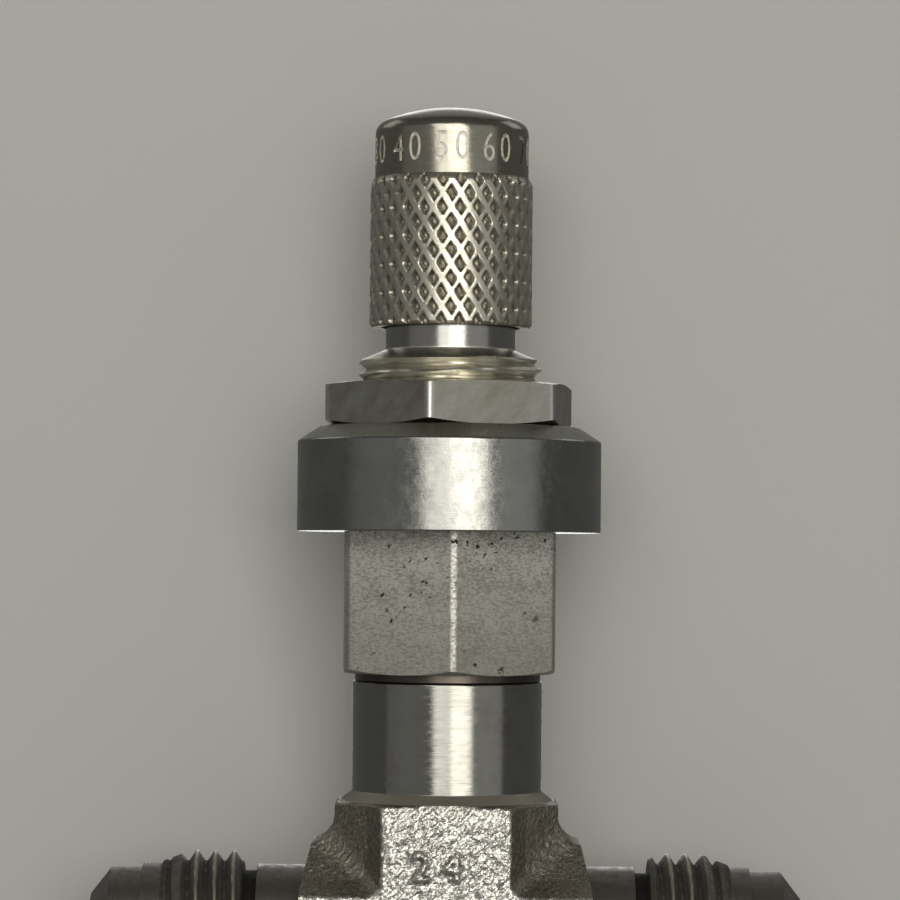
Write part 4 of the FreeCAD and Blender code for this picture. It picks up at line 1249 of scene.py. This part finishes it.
for corner in handle.data.vertices:
    spot = corner.co
    radius = math.hypot(spot.x, spot.y)
    if radius < knurl_radius - TINY:
        continue
    from_foot = spot.z - handle_low.z
    from_top = knurl_top - spot.z
    bevel = max(knurl_start - from_foot, (knurl_finish - from_top) * knurl_finish_slope, 0)
    wanted = knurl_radius - max(knurl_cut(spot), bevel)
    spot.x *= wanted / radius
    spot.y *= wanted / radius
settle(handle)


def handle_finish(name, knurled):
    """Warm nickel plate: a satin band, a crown in painted shade, a dull knurl with painted shade in its
    pits.
    """
    finish = Finish(name, Metallic=1.0)
    spot = finish.place()
    across = finish.parts(spot)
    reach = (across[0] ** 2 + across[1] ** 2) ** 0.5
    grit = finish.noise(spot, 2.2, detail=5.0, roughness=0.65)
    lines = finish.noise(finish.place(stretch=(0.04, 0.04, 1)), 8.0, detail=3.0)
    spread = finish.ramp(lines, 0.3, 0.7, -0.04, 0.05) + finish.ramp(grit, 0.3, 0.7, 0.0, 0.06)
    if knurled:
        # Painted shade: the knurl's pits are painted dark brown.
        deep = finish.ramp(reach, knurl_radius - knurl_depth, knurl_radius - 0.03 * MM, 1.0, 0.0)
        deep = deep * finish.ramp(grit, 0.25, 0.6, 0.75, 1.0)
        tint = finish.mix(finish.ramp(grit, 0.4, 0.7), *KNURL_COLOURS)
        finish.feed("Base Color", finish.mix(deep, tint, KNURL_PIT_SHADE_COLOUR))
        finish.feed("Roughness", spread + 0.31 + deep * 0.15)
        finish.relief(grit * 0.6 + lines * 0.4, 0.012 * MM)
    else:
        # Painted shade: the crown's dome is painted darker than the band.
        crown_shade = finish.ramp(across[2], round_height + 0.2 * MM, round_height + 0.8 * MM, 0.0, 0.35)
        tint = finish.mix(finish.ramp(grit, 0.4, 0.7), *BAND_COLOURS)
        finish.feed("Base Color", finish.mix(crown_shade, tint, CROWN_SHADE_COLOUR))
        finish.feed("Roughness", spread + 0.17)
        finish.relief(grit * 0.6 + lines * 0.4, 0.006 * MM)
    return finish.material


def stamped_finish():
    """The stamped numerals: an open grain, painted pale as a highlight."""
    finish = Finish("stamped_numerals", Metallic=1.0)
    grain = finish.noise(finish.place(), 9.0, detail=3.0)
    # Painted highlight: the numerals are painted a pale cream.
    finish.feed("Base Color", finish.mix(finish.ramp(grain, 0.35, 0.65), *NUMERAL_HIGHLIGHT_COLOURS))
    finish.feed("Roughness", finish.ramp(grain, 0.3, 0.7, 0.5, 0.65))
    finish.relief(grain, 0.03 * MM)
    return finish.material


band_and_knurl = [handle_finish("nickel_band", False), handle_finish("nickel_knurl", True)]
dress(handle, *band_and_knurl, stamped_finish())
stamped_foot = digit_foot - digit_margin
stamped_top = digit_foot + digit_height + digit_margin
for face in handle.data.polygons:
    reach = math.hypot(face.center.x, face.center.y)
    in_band = stamped_foot < face.center.z < stamped_top
    sunk = band_radius - 2 * digit_depth < reach < band_radius - 0.03 * MM
    face.material_index = 1 if face.center.z < knurl_top - TINY else 2 * int(in_band and sunk)
smooth(handle, degrees=32)
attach(handle, "knob")
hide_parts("handle")

# Working parts inside: needle, stem, bellows and its ends, guide and drive bushes, actuator, ball, clip,
# seat, gasket and seals, and the handle's set screw. They keep their own solids and get their finishes.
def inner_finish(name, colour, metallic, roughness, line_depth):
    finish = Finish(name, Metallic=metallic)
    spot = finish.place()
    lines = finish.noise(finish.place(stretch=(0.05, 0.05, 1)), 8.0, detail=3.0)
    drift = finish.noise(spot, 0.8, detail=3.0)
    dull = tuple(share * 0.75 for share in colour)
    finish.feed("Base Color", finish.mix(finish.ramp(drift, 0.35, 0.65), colour, dull))
    finish.feed("Roughness", finish.ramp(lines, 0.3, 0.7, -0.05, 0.05) + roughness)
    finish.relief(lines, line_depth)
    return finish.material


machined_pieces = "bellows bellows_cap bellows_flange guide_bush actuator_screw swivel_clip gland_ring"
inner_pieces = (  # names, and their finish: name, colour, metallic, roughness, depth of its lines
    ("needle stem thrust_ball", "ground_steel", (0.66, 0.66, 0.65), 1.0, 0.16, 0.002 * MM),
    (machined_pieces, "machined_steel", (0.60, 0.59, 0.56), 1.0, 0.26, 0.004 * MM),
    ("drive_bush", "bronze", (0.62, 0.42, 0.22), 1.0, 0.30, 0.004 * MM),
    ("seat_insert backup_ring", "white_polymer", (0.78, 0.77, 0.73), 0.0, 0.50, 0.003 * MM),
    ("body_gasket", "grey_polymer", (0.40, 0.40, 0.39), 0.0, 0.55, 0.003 * MM),
    ("stem_o_ring", "black_rubber", (0.025, 0.025, 0.025), 0.0, 0.60, 0.002 * MM),
    ("handle_set_screw", "blackened_screw", (0.10, 0.10, 0.105), 0.9, 0.38, 0.004 * MM),
)
for names, *settings in inner_pieces:
    material = inner_finish(*settings)
    for name in names.split():
        dress(frame["nodes"][name], material)
